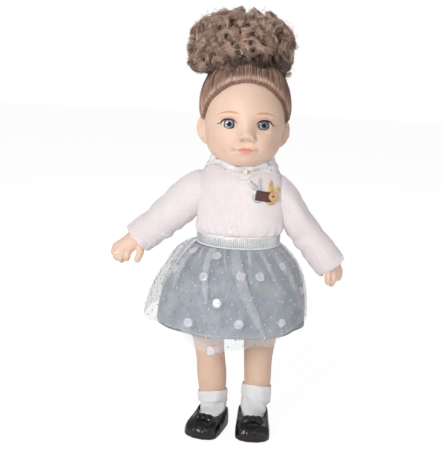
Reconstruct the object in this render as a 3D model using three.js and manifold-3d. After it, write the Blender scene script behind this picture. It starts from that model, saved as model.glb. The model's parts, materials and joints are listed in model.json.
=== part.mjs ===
// A soft-bodied play doll: vinyl head and limbs on a stuffed cloth body, strung on elastic, dressed in a
// knitted sweater, a lined tulle skirt, ankle socks and slip-on shoes with bows.
// Millimetres, +Z up. The doll stands on its soles, faces -Y, and its own left is +X.
import * as THREE from "three";
import { mergeVertices } from "three/addons/utils/BufferGeometryUtils.js";
import Module from "manifold-3d";

const wasm = await Module();
wasm.setup();

// Clearance between neighbouring pieces
const seam = 0.35;

// Heights of the joints above the floor, and their distances from the middle
const hipHeight = 172;
const hipHalfSpan = 30;
const shoulderRise = 94;
const armholeHalfSpan = 46;
const neckRise = 24;
const chinRise = 6.5;

// Cloth body
const clothThickness = 1.5;
const neckClothRadius = 14.5;
const shoulderHalfWidth = 42;
const shoulderHalfDepth = 29;
const waistRise = 47;
const waistHalfWidth = 40.5;
const waistHalfDepth = 30.5;
const hipHalfWidth = 44;
const hipHalfDepth = 33;
const crotchDrop = 18;

// Head, with the face looking slightly up
const headTilt = 7;
const headHalfWidth = 43;
const headHalfDepth = 50;
const headHalfHeight = 54.5;
const jawFullness = 0.12;
const jawDrop = 18;
const noseDrop = 23.5;
const upperLipDrop = 35;
const lowerLipDrop = 40.2;
const chinDrop = 48;
const vinylThickness = 2.6;
const neckRadius = 15.5;
const grooveDepth = 3;
const grooveHeight = 5;
const flangeThickness = 4;
const neckTieWidth = 1.6;
const neckTieThickness = 1.3;

// Eyes
const eyeHalfSpan = 18;
const eyeDrop = 10;
const eyeRadius = 10.2;
const irisRadius = 6;
const irisThickness = 0.8;
const lensHeight = 1.7;
const eyeOpeningHalfWidth = 7.6;
const eyeOpeningHalfHeight = 5.4;
const eyeSink = 3.2;

// Hair
const hairThickness = 4.5;
const hairLift = 1.5;
const hairlineHalfWidth = 42;
const hairlineRise = 35;
const napeDrop = 34;
const puffHalfWidth = 57.5;
const puffHalfDepth = 51;
const puffHalfHeight = 38.5;
const puffRise = 72;
const puffShift = -5.6;
const curlDepth = 0.07;
const puffFullness = 0.45;
const hairTieRadius = 17;
const hairTieThickness = 3;

// Arms and sleeves: the right arm is lifted further, and its sleeve is pushed up a little
const armBallRadius = 14.5;
const armBallOffset = 5;
const upperArmLength = 42;
const forearmLength = 42;
const elbowBend = 8;
const wristHalfWidth = 9.5;
const fingerRadius = 3.3;
const armLift = { left: 34, right: 47 };
const sleeveLength = { left: 92, right: 81 };
const knitThickness = 1.8;
const armholeRadius = 24;
const armholeSquareness = 0.55;
const cuffRadius = 18;

// Legs, with the right foot turned further out
const legBallRadius = 20;
const legFaceInset = 18.4;
const ankleHeight = 22;
const ankleHalfSpan = { left: 25, right: 20 };
const toeOut = { left: 6, right: 33 };
const kneeRadius = 15.3;
const ankleRadius = 12;
const legSwingBack = 30;
const legSwingForward = 85;

// Feet, socks and shoes
const heelLength = 15;
const toeLength = 41;
const footHalfWidth = 16;
const footHalfHeight = 7.2;
const sockThickness = 1.2;
const sockCuffThickness = 1.2;
const sockCuffHeight = 13;
const sockTop = { left: 52, right: 46 };
const soleThickness = 3.6;
const shoeThickness = 1.8;
const shoeMouthHalfLength = 15.5;
const bowHalfLength = 13;

// Stringing
const elasticRadius = 2;
const knotRadius = 3.6;
const knotLength = 3.4;
const cupRadius = 8;
const cupThickness = 2;

// Skirt
const bandHeight = 12.5;
const bandThickness = 2;
const liningThickness = 1;
const liningLength = 88.5;
const hemHalfWidth = 80;
const hemHalfDepth = 68;
const hemShift = -5;
const liningFoldDepth = 1.6;
const liningFolds = 8;
const tulleThickness = 0.9;
const tulleOverhang = 13;
const tulleSideLift = 8;
const tulleStandOff = 19;
const tullePuff = 5.5;
const tulleFoldDepth = 3.4;
const tulleFolds = 21;
const bellRoundness = 2.9;
const bellLean = 0.8;

// Collar and badge
const necklineHalfWidth = 33;
const necklineHalfDepth = 25.5;
const collarHeight = 6;
const collarThickness = 1.2;
const collarWaves = 12;
const collarWaveDepth = 1.3;
const badgeThickness = 1.2;
const badgeAcross = 22;
const badgeRise = 6;
const rabbitHalfWidth = 7.5;
const labelWidth = 17;
const labelHeight = 10;
const buttonRadius = 4.6;
const backTapeWidth = 11;

// Levels that follow from the heights
const shoulderHeight = hipHeight + shoulderRise;
const neckHeight = shoulderHeight + neckRise;
const waistHeight = hipHeight + waistRise;
const headHeight = neckHeight + chinRise + headHalfHeight;

const vector = (x, y, z) => new THREE.Vector3(x, y, z);
const radians = THREE.MathUtils.degToRad;
const bump = (distance) => Math.exp(-0.5 * distance * distance);

// A closed solid from any geometry, whichever way its faces were wound
function solidOf(geometry) {
  const bare = geometry.clone();
  bare.deleteAttribute("normal");
  bare.deleteAttribute("uv");
  const merged = mergeVertices(bare, 1e-4);
  const corners = merged.index.array;
  const kept = [];
  for (let i = 0; i < corners.length; i += 3) {
    const [a, b, c] = [corners[i], corners[i + 1], corners[i + 2]];
    if (a !== b && b !== c && c !== a) kept.push(a, b, c);
  }
  const vertProperties = merged.attributes.position.array;
  const build = (triVerts) => new wasm.Manifold(new wasm.Mesh({ numProp: 3, vertProperties, triVerts }));
  const solid = build(new Uint32Array(kept));
  return solid.volume() > 0 ? solid : build(new Uint32Array(kept).reverse());
}

// A ring of points round a centre; a power under 1 makes it squarer
function ring(centre, across, up, halfAcross, halfUp, count, power = 1) {
  return Array.from({ length: count }, (_, i) => {
    const c = Math.cos((2 * Math.PI * i) / count);
    const s = Math.sin((2 * Math.PI * i) / count);
    return centre
      .clone()
      .addScaledVector(across, halfAcross * Math.sign(c) * Math.abs(c) ** power)
      .addScaledVector(up, halfUp * Math.sign(s) * Math.abs(s) ** power);
  });
}

// A skin over a row of rings: capped at both ends, or joined round on itself for an open tube
function loft(rings, joined = false) {
  const count = rings[0].length;
  const points = rings.flat();
  const corners = [];
  const bands = joined ? rings.length : rings.length - 1;
  for (let r = 0; r < bands; r++) {
    const here = r * count;
    const next = ((r + 1) % rings.length) * count;
    for (let i = 0; i < count; i++) {
      const j = (i + 1) % count;
      corners.push(here + i, here + j, next + j, here + i, next + j, next + i);
    }
  }
  if (!joined) {
    const last = (rings.length - 1) * count;
    const middles = [rings[0], rings[rings.length - 1]].map((end) =>
      end.reduce((sum, p) => sum.add(p), vector(0, 0, 0)).divideScalar(count));
    const foot = points.push(...middles) - 2;
    for (let i = 0; i < count; i++) {
      const j = (i + 1) % count;
      corners.push(foot, j, i, foot + 1, last + i, last + j);
    }
  }
  const geometry = new THREE.BufferGeometry();
  geometry.setAttribute("position", new THREE.Float32BufferAttribute(points.flatMap((p) => p.toArray()), 3));
  geometry.setIndex(corners);
  return solidOf(geometry);
}

// Level rings of half-widths and half-depths, bottom to top, each with its own squareness
const levelRings = (levels, count, grow = 0) =>
  levels.map(([z, width, depth, power = 0.9]) =>
    ring(vector(0, 0, z), vector(1, 0, 0), vector(0, 1, 0), width + grow, depth + grow, count, power));

// Rings square to a curve through stations, each with a half-width in its plane and a half-depth along Y
function limbRings(stations, steps, count, grow = 0) {
  const path = new THREE.CatmullRomCurve3(stations.map(([point]) => point));
  const girth = new THREE.CatmullRomCurve3(stations.map(([, width, depth]) => vector(width, depth, 0)));
  const depthwise = vector(0, 1, 0);
  return Array.from({ length: steps + 1 }, (_, i) => {
    const across = path.getTangent(i / steps).cross(depthwise).normalize();
    const half = girth.getPoint(i / steps);
    return ring(path.getPoint(i / steps), across, depthwise, half.x + grow, half.y + grow, count);
  });
}

// A turned shape along X from [x, radius] pairs, at a height
function turnedAlongX(profile, height, count = 12) {
  const outline = profile.map(([x, radius]) => new THREE.Vector2(radius, x));
  return solidOf(new THREE.LatheGeometry(outline, count).rotateZ(-Math.PI / 2).translate(0, 0, height));
}

// A turned shape along Z from [z, radius] pairs
function turnedAlongZ(profile, count = 14) {
  const outline = profile.map(([z, radius]) => new THREE.Vector2(radius, z));
  return solidOf(new THREE.LatheGeometry(outline, count).rotateX(Math.PI / 2));
}

const cylinderAlongX = (from, to, radius, height, count = 12) =>
  turnedAlongX([[from, 0], [from, radius], [to, radius], [to, 0]], height, count);

const cylinderAlongZ = (from, to, radius, count = 12) =>
  turnedAlongZ([[from, 0], [from, radius], [to, radius], [to, 0]], count);

function ellipsoid(centre, half, columns = 12, rows = 8) {
  const geometry = new THREE.SphereGeometry(1, columns, rows).rotateX(Math.PI / 2);
  geometry.scale(half.x, half.y, half.z);
  return solidOf(geometry.translate(centre.x, centre.y, centre.z));
}

function block(from, to) {
  const size = to.clone().sub(from);
  const middle = from.clone().add(to).multiplyScalar(0.5);
  return solidOf(new THREE.BoxGeometry(size.x, size.y, size.z).translate(middle.x, middle.y, middle.z));
}

// A rod with round ends between two points
function rod(from, to, radius, count = 5) {
  const along = to.clone().sub(from);
  const middle = from.clone().add(to).multiplyScalar(0.5);
  const geometry = new THREE.CapsuleGeometry(radius, along.length(), 2, count);
  geometry.applyQuaternion(new THREE.Quaternion().setFromUnitVectors(vector(0, 1, 0), along.normalize()));
  return solidOf(geometry.translate(middle.x, middle.y, middle.z));
}

const joinAll = (solids) => solids.reduce((whole, solid) => whole.add(solid));
const cutAll = (solid, cutters) => cutters.reduce((left, cutter) => left.subtract(cutter), solid);

const far = 400;
const withinX = (x) => block(vector(-far, -far, -far), vector(x, far, far));
const belowZ = (z) => block(vector(-far, -far, -far), vector(far, far, z));
const aboveZ = (z) => block(vector(-far, -far, z), vector(far, far, far));

const paint = (color, roughness, metalness = 0) =>
  () => new THREE.MeshStandardMaterial({ color, roughness, metalness });
const vinyl = paint("#e9cbb3", 0.5);
const eyeWhite = paint("#f4f1ec", 0.25);
const irisBlue = paint("#7f8a99", 0.3);
const clearLens = paint("#dfe6ea", 0.05);
const hairBrown = paint("#86675a", 0.6);
const blackElastic = paint("#241d1a", 0.8);
const bodyCloth = paint("#ead9cb", 0.9);
const whiteFibre = paint("#f6f4f0", 1);
const whiteNylon = paint("#f2f2ef", 0.4);
const whiteElastic = paint("#efece6", 0.8);
const whiteCup = paint("#e6e2da", 0.5);
const pinkKnit = paint("#f6ebed", 0.95);
const sheerTulle = paint("#d9dee2", 0.7);
const greyLining = paint("#8f98a6", 0.7);
const silverBand = paint("#c4c4c8", 0.35, 0.5);
const whiteSock = paint("#efeded", 0.95);
const blackPatent = paint("#1a1b1d", 0.15);
const redSole = paint("#b9585a", 0.5);
const pearl = paint("#f0ebe6", 0.2);
const silverGlitter = paint("#b9b6b6", 0.4, 0.4);
const goldGlitter = paint("#c2a05a", 0.4, 0.5);
const brownLabel = paint("#4b3130", 0.7);
const buttonWood = paint("#cf9c68", 0.6);
const whiteTape = paint("#eae6e4", 0.9);

// One named piece; a right-hand piece is the mirror image of one made on the left side
function piece(group, name, solid, material, mirrored = false) {
  const shape = solid.getMesh();
  const geometry = new THREE.BufferGeometry();
  const points = new Float32Array(shape.vertProperties);
  geometry.setAttribute("position", new THREE.BufferAttribute(points, 3));
  const corners = Array.from(shape.triVerts);
  geometry.setIndex(mirrored ? corners.reverse() : corners);
  if (mirrored) geometry.scale(-1, 1, 1);
  const mesh = new THREE.Mesh(geometry, material());
  mesh.name = name;
  group.add(mesh);
}

const doll = new THREE.Group();
doll.name = "doll";
const torsoGroup = new THREE.Group();
torsoGroup.name = "torso";
doll.add(torsoGroup);

// Outlines pushed through: drawn as seen from the front (x, z), or as seen along X (y, z)
const straight = (curveSegments) => ({ depth: far, bevelEnabled: false, curveSegments });
const frontPrism = (shape) => solidOf(new THREE.ExtrudeGeometry(shape, straight(5)).rotateX(Math.PI / 2));
const sidePrism = (shape, curveSegments) =>
  new THREE.ExtrudeGeometry(shape, straight(curveSegments)).rotateY(Math.PI / 2).rotateX(Math.PI / 2);

// The leg's top is a ball with a flat inner face; the thigh below it swings about the ball
const legFace = hipHalfSpan - legFaceInset;
const ballWithFlat = (radius, face) =>
  ellipsoid(vector(hipHalfSpan, 0, hipHeight), vector(radius, radius, radius), 12, 6).subtract(withinX(face));

// Room that a thigh takes through its whole swing, grown by a clearance: a fan seen along X
function legRoom(grow) {
  const radius = legBallRadius + grow;
  const back = radians(legSwingBack);
  const front = radians(legSwingForward);
  const fan = new THREE.Shape();
  fan.absarc(0, 0, radius, back, Math.PI - front, false);
  fan.lineTo(
    -radius * Math.cos(front) - far * Math.sin(front),
    radius * Math.sin(front) - far * Math.cos(front));
  fan.lineTo(-far, -far);
  fan.lineTo(far, -far);
  fan.lineTo(
    radius * Math.cos(back) + far * Math.sin(back),
    radius * Math.sin(back) - far * Math.cos(back));
  const prism = sidePrism(fan, 8);
  return solidOf(prism.translate(legFace - grow, 0, hipHeight));
}

const otherSide = (solid) => {
  const shape = solid.getMesh();
  const geometry = new THREE.BufferGeometry();
  geometry.setAttribute("position", new THREE.BufferAttribute(new Float32Array(shape.vertProperties), 3));
  geometry.setIndex(Array.from(shape.triVerts));
  return solidOf(geometry.scale(-1, 1, 1));
};
const bothSides = (solid) => solid.add(otherSide(solid));

// The stuffed body, drawn in by an inset for its inner faces
const shoulderFace = shoulderHalfWidth - 0.5;
const bodySides = 12;
function bodyForm(inset) {
  const open = inset > 0 ? 1 : 0;
  const shelf = neckHeight - 3.2 - inset;
  const levels = [
    [hipHeight - crotchDrop + inset, hipHalfWidth * 0.3, hipHalfDepth * 0.42],
    [hipHeight - crotchDrop * 0.55 + inset, hipHalfWidth * 0.68, hipHalfDepth * 0.74],
    [hipHeight + 6, hipHalfWidth * 0.98, hipHalfDepth],
    [waistHeight - bandHeight, waistHalfWidth, waistHalfDepth],
    [waistHeight + bandHeight, waistHalfWidth, waistHalfDepth],
    [shoulderHeight - shoulderRise * 0.27, shoulderHalfWidth, shoulderHalfDepth + 1.5],
    [shoulderHeight, shoulderHalfWidth, shoulderHalfDepth],
    [shelf - neckRise * 0.45, shoulderHalfWidth - 1.5, shoulderHalfDepth - 2.5],
    [shelf - neckRise * 0.16, shoulderHalfWidth * 0.82, shoulderHalfDepth * 0.8],
    [shelf, neckClothRadius + 11, neckClothRadius + 5],
    [shelf + 0.7, neckClothRadius, neckClothRadius],
    [neckHeight + open, neckClothRadius, neckClothRadius],
  ];
  const shoulderFlat = cylinderAlongX(shoulderFace - inset, far, armBallRadius + 4, shoulderHeight);
  return cutAll(loft(levelRings(levels.map((level) => [...level, 1]), bodySides, -inset)), [
    bothSides(legRoom(seam + inset)),
    bothSides(shoulderFlat),
  ]);
}

// The neck of the vinyl head: a column, a groove for the tie, and a flange that stays inside the cloth
const flangeTop = neckHeight - grooveHeight;
const neckOuter = (grow) =>
  turnedAlongZ([
    [flangeTop - flangeThickness - grow, 0],
    [flangeTop - flangeThickness - grow, neckRadius + grow],
    [flangeTop + grow, neckRadius + grow],
    [flangeTop + grow, neckRadius - grooveDepth + grow],
    [neckHeight + seam - grow, neckRadius - grooveDepth + grow],
    [neckHeight + seam - grow, neckRadius + grow],
    [headHeight - headHalfHeight * 0.6, neckRadius + grow],
    [headHeight - headHalfHeight * 0.6, 0],
  ]);

// Stringing: one elastic through the shoulders and one through the hips, knotted inside the limb cups
const armFace = shoulderFace + seam;
const armCupAt = armFace + vinylThickness + seam;
const legCupAt = legFace + vinylThickness + seam;
function elasticThrough(cupAt, height) {
  const knotAt = cupAt + cupThickness + seam;
  const half = turnedAlongX([
    [0, 0],
    [0, elasticRadius],
    [knotAt, elasticRadius],
    [knotAt, knotRadius * 0.8],
    [knotAt + knotLength / 2, knotRadius],
    [knotAt + knotLength, knotRadius * 0.7],
    [knotAt + knotLength, 0],
  ], height, 10);
  return bothSides(half);
}
const elasticHole = (height, grow) => cylinderAlongX(-far, far, elasticRadius + grow, height, 10);

const clothHoles = [elasticHole(shoulderHeight, seam), elasticHole(hipHeight, seam)];
const bodySkin = cutAll(bodyForm(0), [bodyForm(clothThickness), neckOuter(seam), ...clothHoles]);
piece(torsoGroup, "torso_cover", bodySkin, bodyCloth);
const fillingForm = bodyForm(clothThickness + seam).subtract(aboveZ(flangeTop - seam));
const filling = cutAll(fillingForm, [neckOuter(seam), ...clothHoles]);
piece(torsoGroup, "torso_filling", filling, whiteFibre);
piece(torsoGroup, "arm_elastic", elasticThrough(armCupAt, shoulderHeight), whiteElastic);

const tieMiddle = neckHeight - 1.4;
const tieInner = neckClothRadius + seam;
piece(torsoGroup, "neck_tie", turnedAlongZ([
  [tieMiddle - neckTieWidth / 2, tieInner],
  [tieMiddle - neckTieWidth / 2, tieInner + neckTieThickness],
  [tieMiddle + neckTieWidth / 2, tieInner + neckTieThickness],
  [tieMiddle + neckTieWidth / 2, tieInner],
  [tieMiddle - neckTieWidth / 2, tieInner],
], bodySides), whiteNylon);

// Sweater body, bloused above the waistband, with round armholes and a wide neckline
const sweaterSide = armholeHalfSpan - seam;
const sweaterHemWidth = waistHalfWidth + seam + knitThickness;
const sweaterHemDepth = waistHalfDepth + seam + knitThickness;
const sweaterLevels = [
  [waistHeight - bandHeight / 2 - 1.5, sweaterHemWidth, sweaterHemDepth],
  [waistHeight + bandHeight / 2 + seam, sweaterHemWidth, sweaterHemDepth],
  [waistHeight + bandHeight / 2 + 3, sweaterSide + 0.5, sweaterHemDepth + 3, 0.8],
  [shoulderHeight - shoulderRise * 0.27, sweaterSide, shoulderHalfDepth + 5, armholeSquareness],
  [shoulderHeight - shoulderRise * 0.08, sweaterSide, shoulderHalfDepth + 4, armholeSquareness],
  [neckHeight - neckRise * 0.45, sweaterSide, shoulderHalfDepth + 2.5, armholeSquareness],
  [neckHeight - 2, sweaterSide - 3.5, shoulderHalfDepth + 0.5, 0.7],
  [neckHeight + 2.6, necklineHalfWidth + 3.5, necklineHalfDepth + 2],
  [neckHeight + 3.6, necklineHalfWidth, necklineHalfDepth],
];
const sweaterForm = (grow) => loft(levelRings(sweaterLevels, 20, grow));
const openTop = [[neckHeight + 9, necklineHalfWidth, necklineHalfDepth]];
const openFoot = [[waistHeight - bandHeight, sweaterHemWidth, sweaterHemDepth]];
const sweaterInside = loft(levelRings([...openFoot, ...sweaterLevels.map(([z, ...rest], i) =>
  [i > 5 ? z - knitThickness : z, ...rest]), ...openTop], 20, -knitThickness));
const armholeCut = cylinderAlongX(sweaterSide * 0.8, far, armholeRadius - 5, shoulderHeight, 14);
piece(torsoGroup, "sweater_body", cutAll(sweaterForm(0), [
  sweaterInside,
  bothSides(armholeCut),
]), pinkKnit);

// Hook-and-loop tape down the inside of the back opening shows as a flat placket on the back
const tapeTop = neckHeight - 6;
const tapeFoot = waistHeight + bandHeight;
const tapeBlock = block(
  vector(-backTapeWidth / 2, 0, tapeFoot),
  vector(backTapeWidth / 2, far, tapeTop));
const tape = tapeBlock.intersect(sweaterForm(seam + badgeThickness)).subtract(sweaterForm(seam));
piece(torsoGroup, "sweater_back_tape", tape, whiteTape);

// Collar: a waved ruffle of tulle standing on the neckline, below the sweep of the chin
const collarFoot = neckHeight + 3.6 + seam;
const collarRing = (share, outset) =>
  Array.from({ length: collarWaves * 4 }, (_, i) => {
    const angle = (2 * Math.PI * i) / (collarWaves * 4);
    const wave = collarWaveDepth * share * Math.cos(collarWaves * angle);
    const outward = outset + wave + collarWaveDepth;
    return vector(
      Math.cos(angle) * (necklineHalfWidth - knitThickness + outward),
      Math.sin(angle) * (necklineHalfDepth - knitThickness + outward),
      collarFoot + collarHeight * share);
  });
const collarShares = [0, 1];
piece(torsoGroup, "collar_frill", loft([
  ...collarShares.map((share) => collarRing(share, collarThickness)),
  ...collarShares.toReversed().map((share) => collarRing(share, 0)),
], true), sheerTulle);

// A small square pearl bead sewn on the front of the neckline
const beadSize = 4.6;
const beadLow = neckHeight - 1.5 - beadSize;
const beadForm = block(vector(-beadSize / 2, -far, beadLow), vector(beadSize / 2, 0, beadLow + beadSize));
const beadRoom = sweaterForm(seam + 2.6).intersect(beadForm);
piece(torsoGroup, "collar_bead", beadRoom.subtract(sweaterForm(seam)), pearl);

// Badge: two rabbit-head patches side by side, a blank label across them and a button at its end
function rabbitOutline(middle, low) {
  const shape = new THREE.Shape();
  const half = rabbitHalfWidth;
  const brow = low + half * 1.15;
  const tip = low + half * 3.2;
  shape.moveTo(middle - half, low + half * 0.7);
  const chin = low - half * 0.25;
  shape.bezierCurveTo(middle - half, chin, middle + half, chin, middle + half, low + half * 0.7);
  shape.quadraticCurveTo(middle + half, brow, middle + half * 0.75, brow + half * 0.15);
  shape.quadraticCurveTo(middle + half * 0.95, tip, middle + half * 0.5, tip);
  shape.quadraticCurveTo(middle + half * 0.12, tip, middle + half * 0.12, brow + half * 0.25);
  shape.lineTo(middle - half * 0.12, brow + half * 0.25);
  shape.quadraticCurveTo(middle - half * 0.12, tip, middle - half * 0.5, tip);
  shape.quadraticCurveTo(middle - half * 0.95, tip, middle - half * 0.75, brow + half * 0.15);
  shape.quadraticCurveTo(middle - half, brow, middle - half, low + half * 0.7);
  return shape;
}
const layerOver = (prism, under, thickness) =>
  prism.intersect(sweaterForm(under + thickness)).subtract(sweaterForm(under));

function labelOutline() {
  const shape = new THREE.Shape();
  const turn = radians(-9);
  const corners = [[-1, -1], [1, -1], [1, 1], [-1, 1]].map(([sx, sz]) =>
    new THREE.Vector2((sx * labelWidth) / 2, (sz * labelHeight) / 2).rotateAround(new THREE.Vector2(), turn));
  const middle = new THREE.Vector2(badgeAcross - 1, shoulderHeight + badgeRise);
  shape.setFromPoints(corners.map((p) => p.add(middle)));
  return shape;
}
const badgeLow = shoulderHeight + badgeRise - rabbitHalfWidth * 1.5;
const labelUnder = seam * 2 + badgeThickness;
const buttonUnder = labelUnder + seam + badgeThickness;
const buttonDisc = new THREE.CylinderGeometry(buttonRadius, buttonRadius, far, 18);
buttonDisc.translate(badgeAcross + rabbitHalfWidth * 0.8, -far / 2, shoulderHeight + badgeRise - 1);
const rabbitGap = seam / 2;
const silverPrism = frontPrism(rabbitOutline(badgeAcross - rabbitHalfWidth - rabbitGap, badgeLow));
const goldPrism = frontPrism(rabbitOutline(badgeAcross + rabbitHalfWidth + rabbitGap, badgeLow));
piece(torsoGroup, "rabbit_patch_silver", layerOver(silverPrism, seam, badgeThickness), silverGlitter);
piece(torsoGroup, "rabbit_patch_gold", layerOver(goldPrism, seam, badgeThickness), goldGlitter);
const label = layerOver(frontPrism(labelOutline()), labelUnder, badgeThickness);
piece(torsoGroup, "badge_label", label, brownLabel);
piece(torsoGroup, "badge_button", layerOver(solidOf(buttonDisc), buttonUnder, badgeThickness), buttonWood);

// Waistband: a flat elastic ring outside the tucked sweater
const bandInner = seam;
const bandRing = (z, outset) =>
  levelRings([[z, sweaterHemWidth + outset, sweaterHemDepth + outset]], 20)[0];
const bandLow = waistHeight - bandHeight / 2;
const bandHigh = waistHeight + bandHeight / 2;
piece(torsoGroup, "waistband", loft([
  bandRing(bandLow, bandInner),
  bandRing(bandLow, bandInner + bandThickness),
  bandRing(bandHigh, bandInner + bandThickness),
  bandRing(bandHigh, bandInner),
], true), silverBand);

// Skirt: both layers hang from the band and round out like a bell; the tulle stands off in sharp pleats
const skirtTop = bandLow - seam;
const skirtSides = tulleFolds * 2;
function skirtPoint(angle, share, outset) {
  const flare = 1 - Math.max(0, 1 - share) ** (bellRoundness + bellLean * Math.cos(angle));
  const fold = liningFoldDepth * share * Math.cos(liningFolds * angle);
  const halfWidth = THREE.MathUtils.lerp(sweaterHemWidth + bandThickness, hemHalfWidth, flare);
  const halfDepth = THREE.MathUtils.lerp(sweaterHemDepth + bandThickness, hemHalfDepth, flare);
  return vector(
    Math.cos(angle) * (halfWidth + fold + outset) + hemShift * flare,
    Math.sin(angle) * (halfDepth + fold + outset),
    skirtTop - liningLength * share);
}
function skirtLayer(shares, outsetAt, thickness, hemAt = () => 1) {
  const row = (part, extra) =>
    Array.from({ length: skirtSides }, (_, i) => {
      const angle = (2 * Math.PI * i) / skirtSides;
      const share = part * hemAt(angle);
      return skirtPoint(angle, share, outsetAt(angle, share) + extra);
    });
  const outer = shares.map((share) => row(share, thickness));
  const inner = shares.toReversed().map((share) => row(share, 0));
  return loft([...outer, ...inner], true);
}
const tulleOutset = (angle, share) => {
  const lean = 0.55 - 0.45 * Math.cos(angle);
  const standOff = tulleStandOff * lean * Math.sqrt(share) * (1 - 0.35 * share);
  const puff = tullePuff * bump((share - 0.1) / 0.1) * (0.5 - 0.5 * Math.cos(angle)) ** 2;
  const fold = tulleFoldDepth * Math.min(1, share * 10) * (0.5 + 0.5 * Math.cos(tulleFolds * angle));
  return liningThickness + seam * 2 + standOff + puff + fold;
};
const liningShares = [0, 0.13, 0.42, 1];
// The tulle hangs below the lining in front and behind, and ends above its hem at the sides
const tulleHem = (angle) => {
  const middle = THREE.MathUtils.smoothstep(Math.abs(Math.sin(angle)), 0.78, 0.95);
  return 1 + THREE.MathUtils.lerp(-tulleSideLift, tulleOverhang, middle) / liningLength;
};
const longestHem = 1 + tulleOverhang / liningLength;
const tulleShares = [...liningShares.map((share) => share / longestHem), 1];
piece(torsoGroup, "skirt_lining", skirtLayer(liningShares, () => 0, liningThickness), greyLining);
piece(torsoGroup, "skirt_tulle", skirtLayer(tulleShares, tulleOutset, tulleThickness, tulleHem), sheerTulle);

// Head, made upright about its own centre and then tilted back
const headCentre = vector(0, 1, headHeight);
function tilted(solid) {
  const shape = solid.getMesh();
  const geometry = new THREE.BufferGeometry();
  geometry.setAttribute("position", new THREE.BufferAttribute(new Float32Array(shape.vertProperties), 3));
  geometry.setIndex(Array.from(shape.triVerts));
  geometry.rotateX(-radians(headTilt)).translate(headCentre.x, headCentre.y, headCentre.z);
  return solidOf(geometry);
}

// How far the face stands forward of a plain egg shape, as soft bumps and hollows
function faceForward(x, z) {
  const off = Math.abs(x);
  return 8.5 * bump(x / 5.2) * bump((z + noseDrop) / 4.6)
    + 3.4 * bump(x / 5) * bump((z + 13) / 7)
    + 2.6 * bump((off - 6) / 2.8) * bump((z + noseDrop + 1.5) / 3)
    - 3 * bump((off - eyeHalfSpan) / 8.5) * bump((z + eyeDrop) / 6.5)
    + 2.4 * bump((off - 21) / 10) * bump((z + 30) / 9)
    + 2.4 * bump(x / 8.5) * bump((z + upperLipDrop) / 2.6)
    + 2.6 * bump(x / 7.5) * bump((z + lowerLipDrop) / 2.8)
    + 4 * bump(x / 11) * bump((z + chinDrop) / 6);
}

function eggForm(grow, columns, rows, withFace) {
  const geometry = new THREE.SphereGeometry(1, columns, rows).rotateX(Math.PI / 2);
  const point = geometry.attributes.position;
  for (let i = 0; i < point.count; i++) {
    const turn = Math.atan2(point.getX(i), -point.getY(i));
    const level = Math.hypot(point.getX(i), point.getY(i));
    const facing = turn - (withFace ? 0.42 * Math.sin(turn) : 0);
    const z = (headHalfHeight + grow) * point.getZ(i);
    const jaw = 1 + jawFullness * THREE.MathUtils.smoothstep(-z, jawDrop, chinDrop - 6);
    const x = (headHalfWidth + grow) * jaw * level * Math.sin(facing);
    const y = -(headHalfDepth + grow) * level * Math.cos(facing);
    const front = THREE.MathUtils.clamp(-y / headHalfDepth, 0, 0.6) / 0.6;
    point.setXYZ(i, x, y - (withFace ? front * faceForward(x, z) : 0), z);
  }
  return solidOf(geometry);
}

const earAt = vector(headHalfWidth + 0.8, 5, -17);
const earForm = (grow) =>
  ellipsoid(earAt, vector(4.6 + grow, 7.5 + grow, 13.5 + grow), 10, 8);
const earHollow = ellipsoid(earAt.clone().add(vector(4.8, -2.5, 0.5)), vector(3, 4, 8), 8, 5);

// Eyes sit behind almond openings, a flat-fronted ball each with a printed disc and a clear dome
const eyeAt = vector(eyeHalfSpan, -headHalfDepth * 0.885 + eyeSink + eyeRadius, -eyeDrop);
const eyeFlat = Math.sqrt(eyeRadius ** 2 - (irisRadius + 0.4) ** 2);
const alongFace = (profile) => {
  const outline = profile.map(([forward, radius]) => new THREE.Vector2(radius, forward));
  const turned = new THREE.LatheGeometry(outline, 14).rotateX(Math.PI);
  return solidOf(turned.translate(eyeAt.x, eyeAt.y, eyeAt.z));
};
const eyeBall = (grow) =>
  ellipsoid(eyeAt, vector(eyeRadius + grow, eyeRadius + grow, eyeRadius + grow), 10, 6);
const ballFront = block(vector(-far, -far, -far), vector(far, eyeAt.y - eyeFlat, far));
const irisFrom = eyeFlat + seam;
const lensFrom = irisFrom + irisThickness + seam;
const iris = alongFace([
  [irisFrom, 0],
  [irisFrom, irisRadius],
  [irisFrom + irisThickness, irisRadius],
  [irisFrom + irisThickness, 0],
]);
const lens = alongFace([
  [lensFrom, 0],
  [lensFrom, irisRadius],
  [lensFrom + lensHeight * 0.6, irisRadius * 0.6],
  [lensFrom + lensHeight, 0],
]);
const eyeOutline = new THREE.Shape();
eyeOutline.absellipse(0, 0, eyeOpeningHalfWidth, eyeOpeningHalfHeight, 0, 2 * Math.PI);
const eyeOpening = new THREE.ExtrudeGeometry(eyeOutline, straight(6));
eyeOpening.rotateX(Math.PI / 2).translate(eyeAt.x, eyeAt.y, eyeAt.z);
const lensRoom = alongFace([
  [0, 0],
  [0, irisRadius + seam],
  [lensFrom + seam, irisRadius + seam],
  [lensFrom + lensHeight * 0.6 + seam, irisRadius * 0.6 + seam],
  [lensFrom + lensHeight + seam, 0],
]);
const eyeRoom = joinAll([solidOf(eyeOpening), eyeBall(seam), lensRoom]);

// Skull with its ears on, still upright; the neck joins it after it is tilted
const skull = eggForm(0, 26, 20, true).add(bothSides(earForm(0))).subtract(bothSides(earHollow));
const hollow = cutAll(eggForm(-vinylThickness * 1.6, 11, 7, false), [belowZ(-headHalfHeight * 0.8)]);
const neckBoreRadius = neckRadius - grooveDepth - vinylThickness;
const neckBore = cylinderAlongZ(flangeTop - far, headHeight - headHalfHeight * 0.3, neckBoreRadius);
const headShell = cutAll(tilted(skull).add(neckOuter(0)), [
  tilted(hollow),
  tilted(bothSides(eyeRoom)),
  neckBore,
]);

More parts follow.
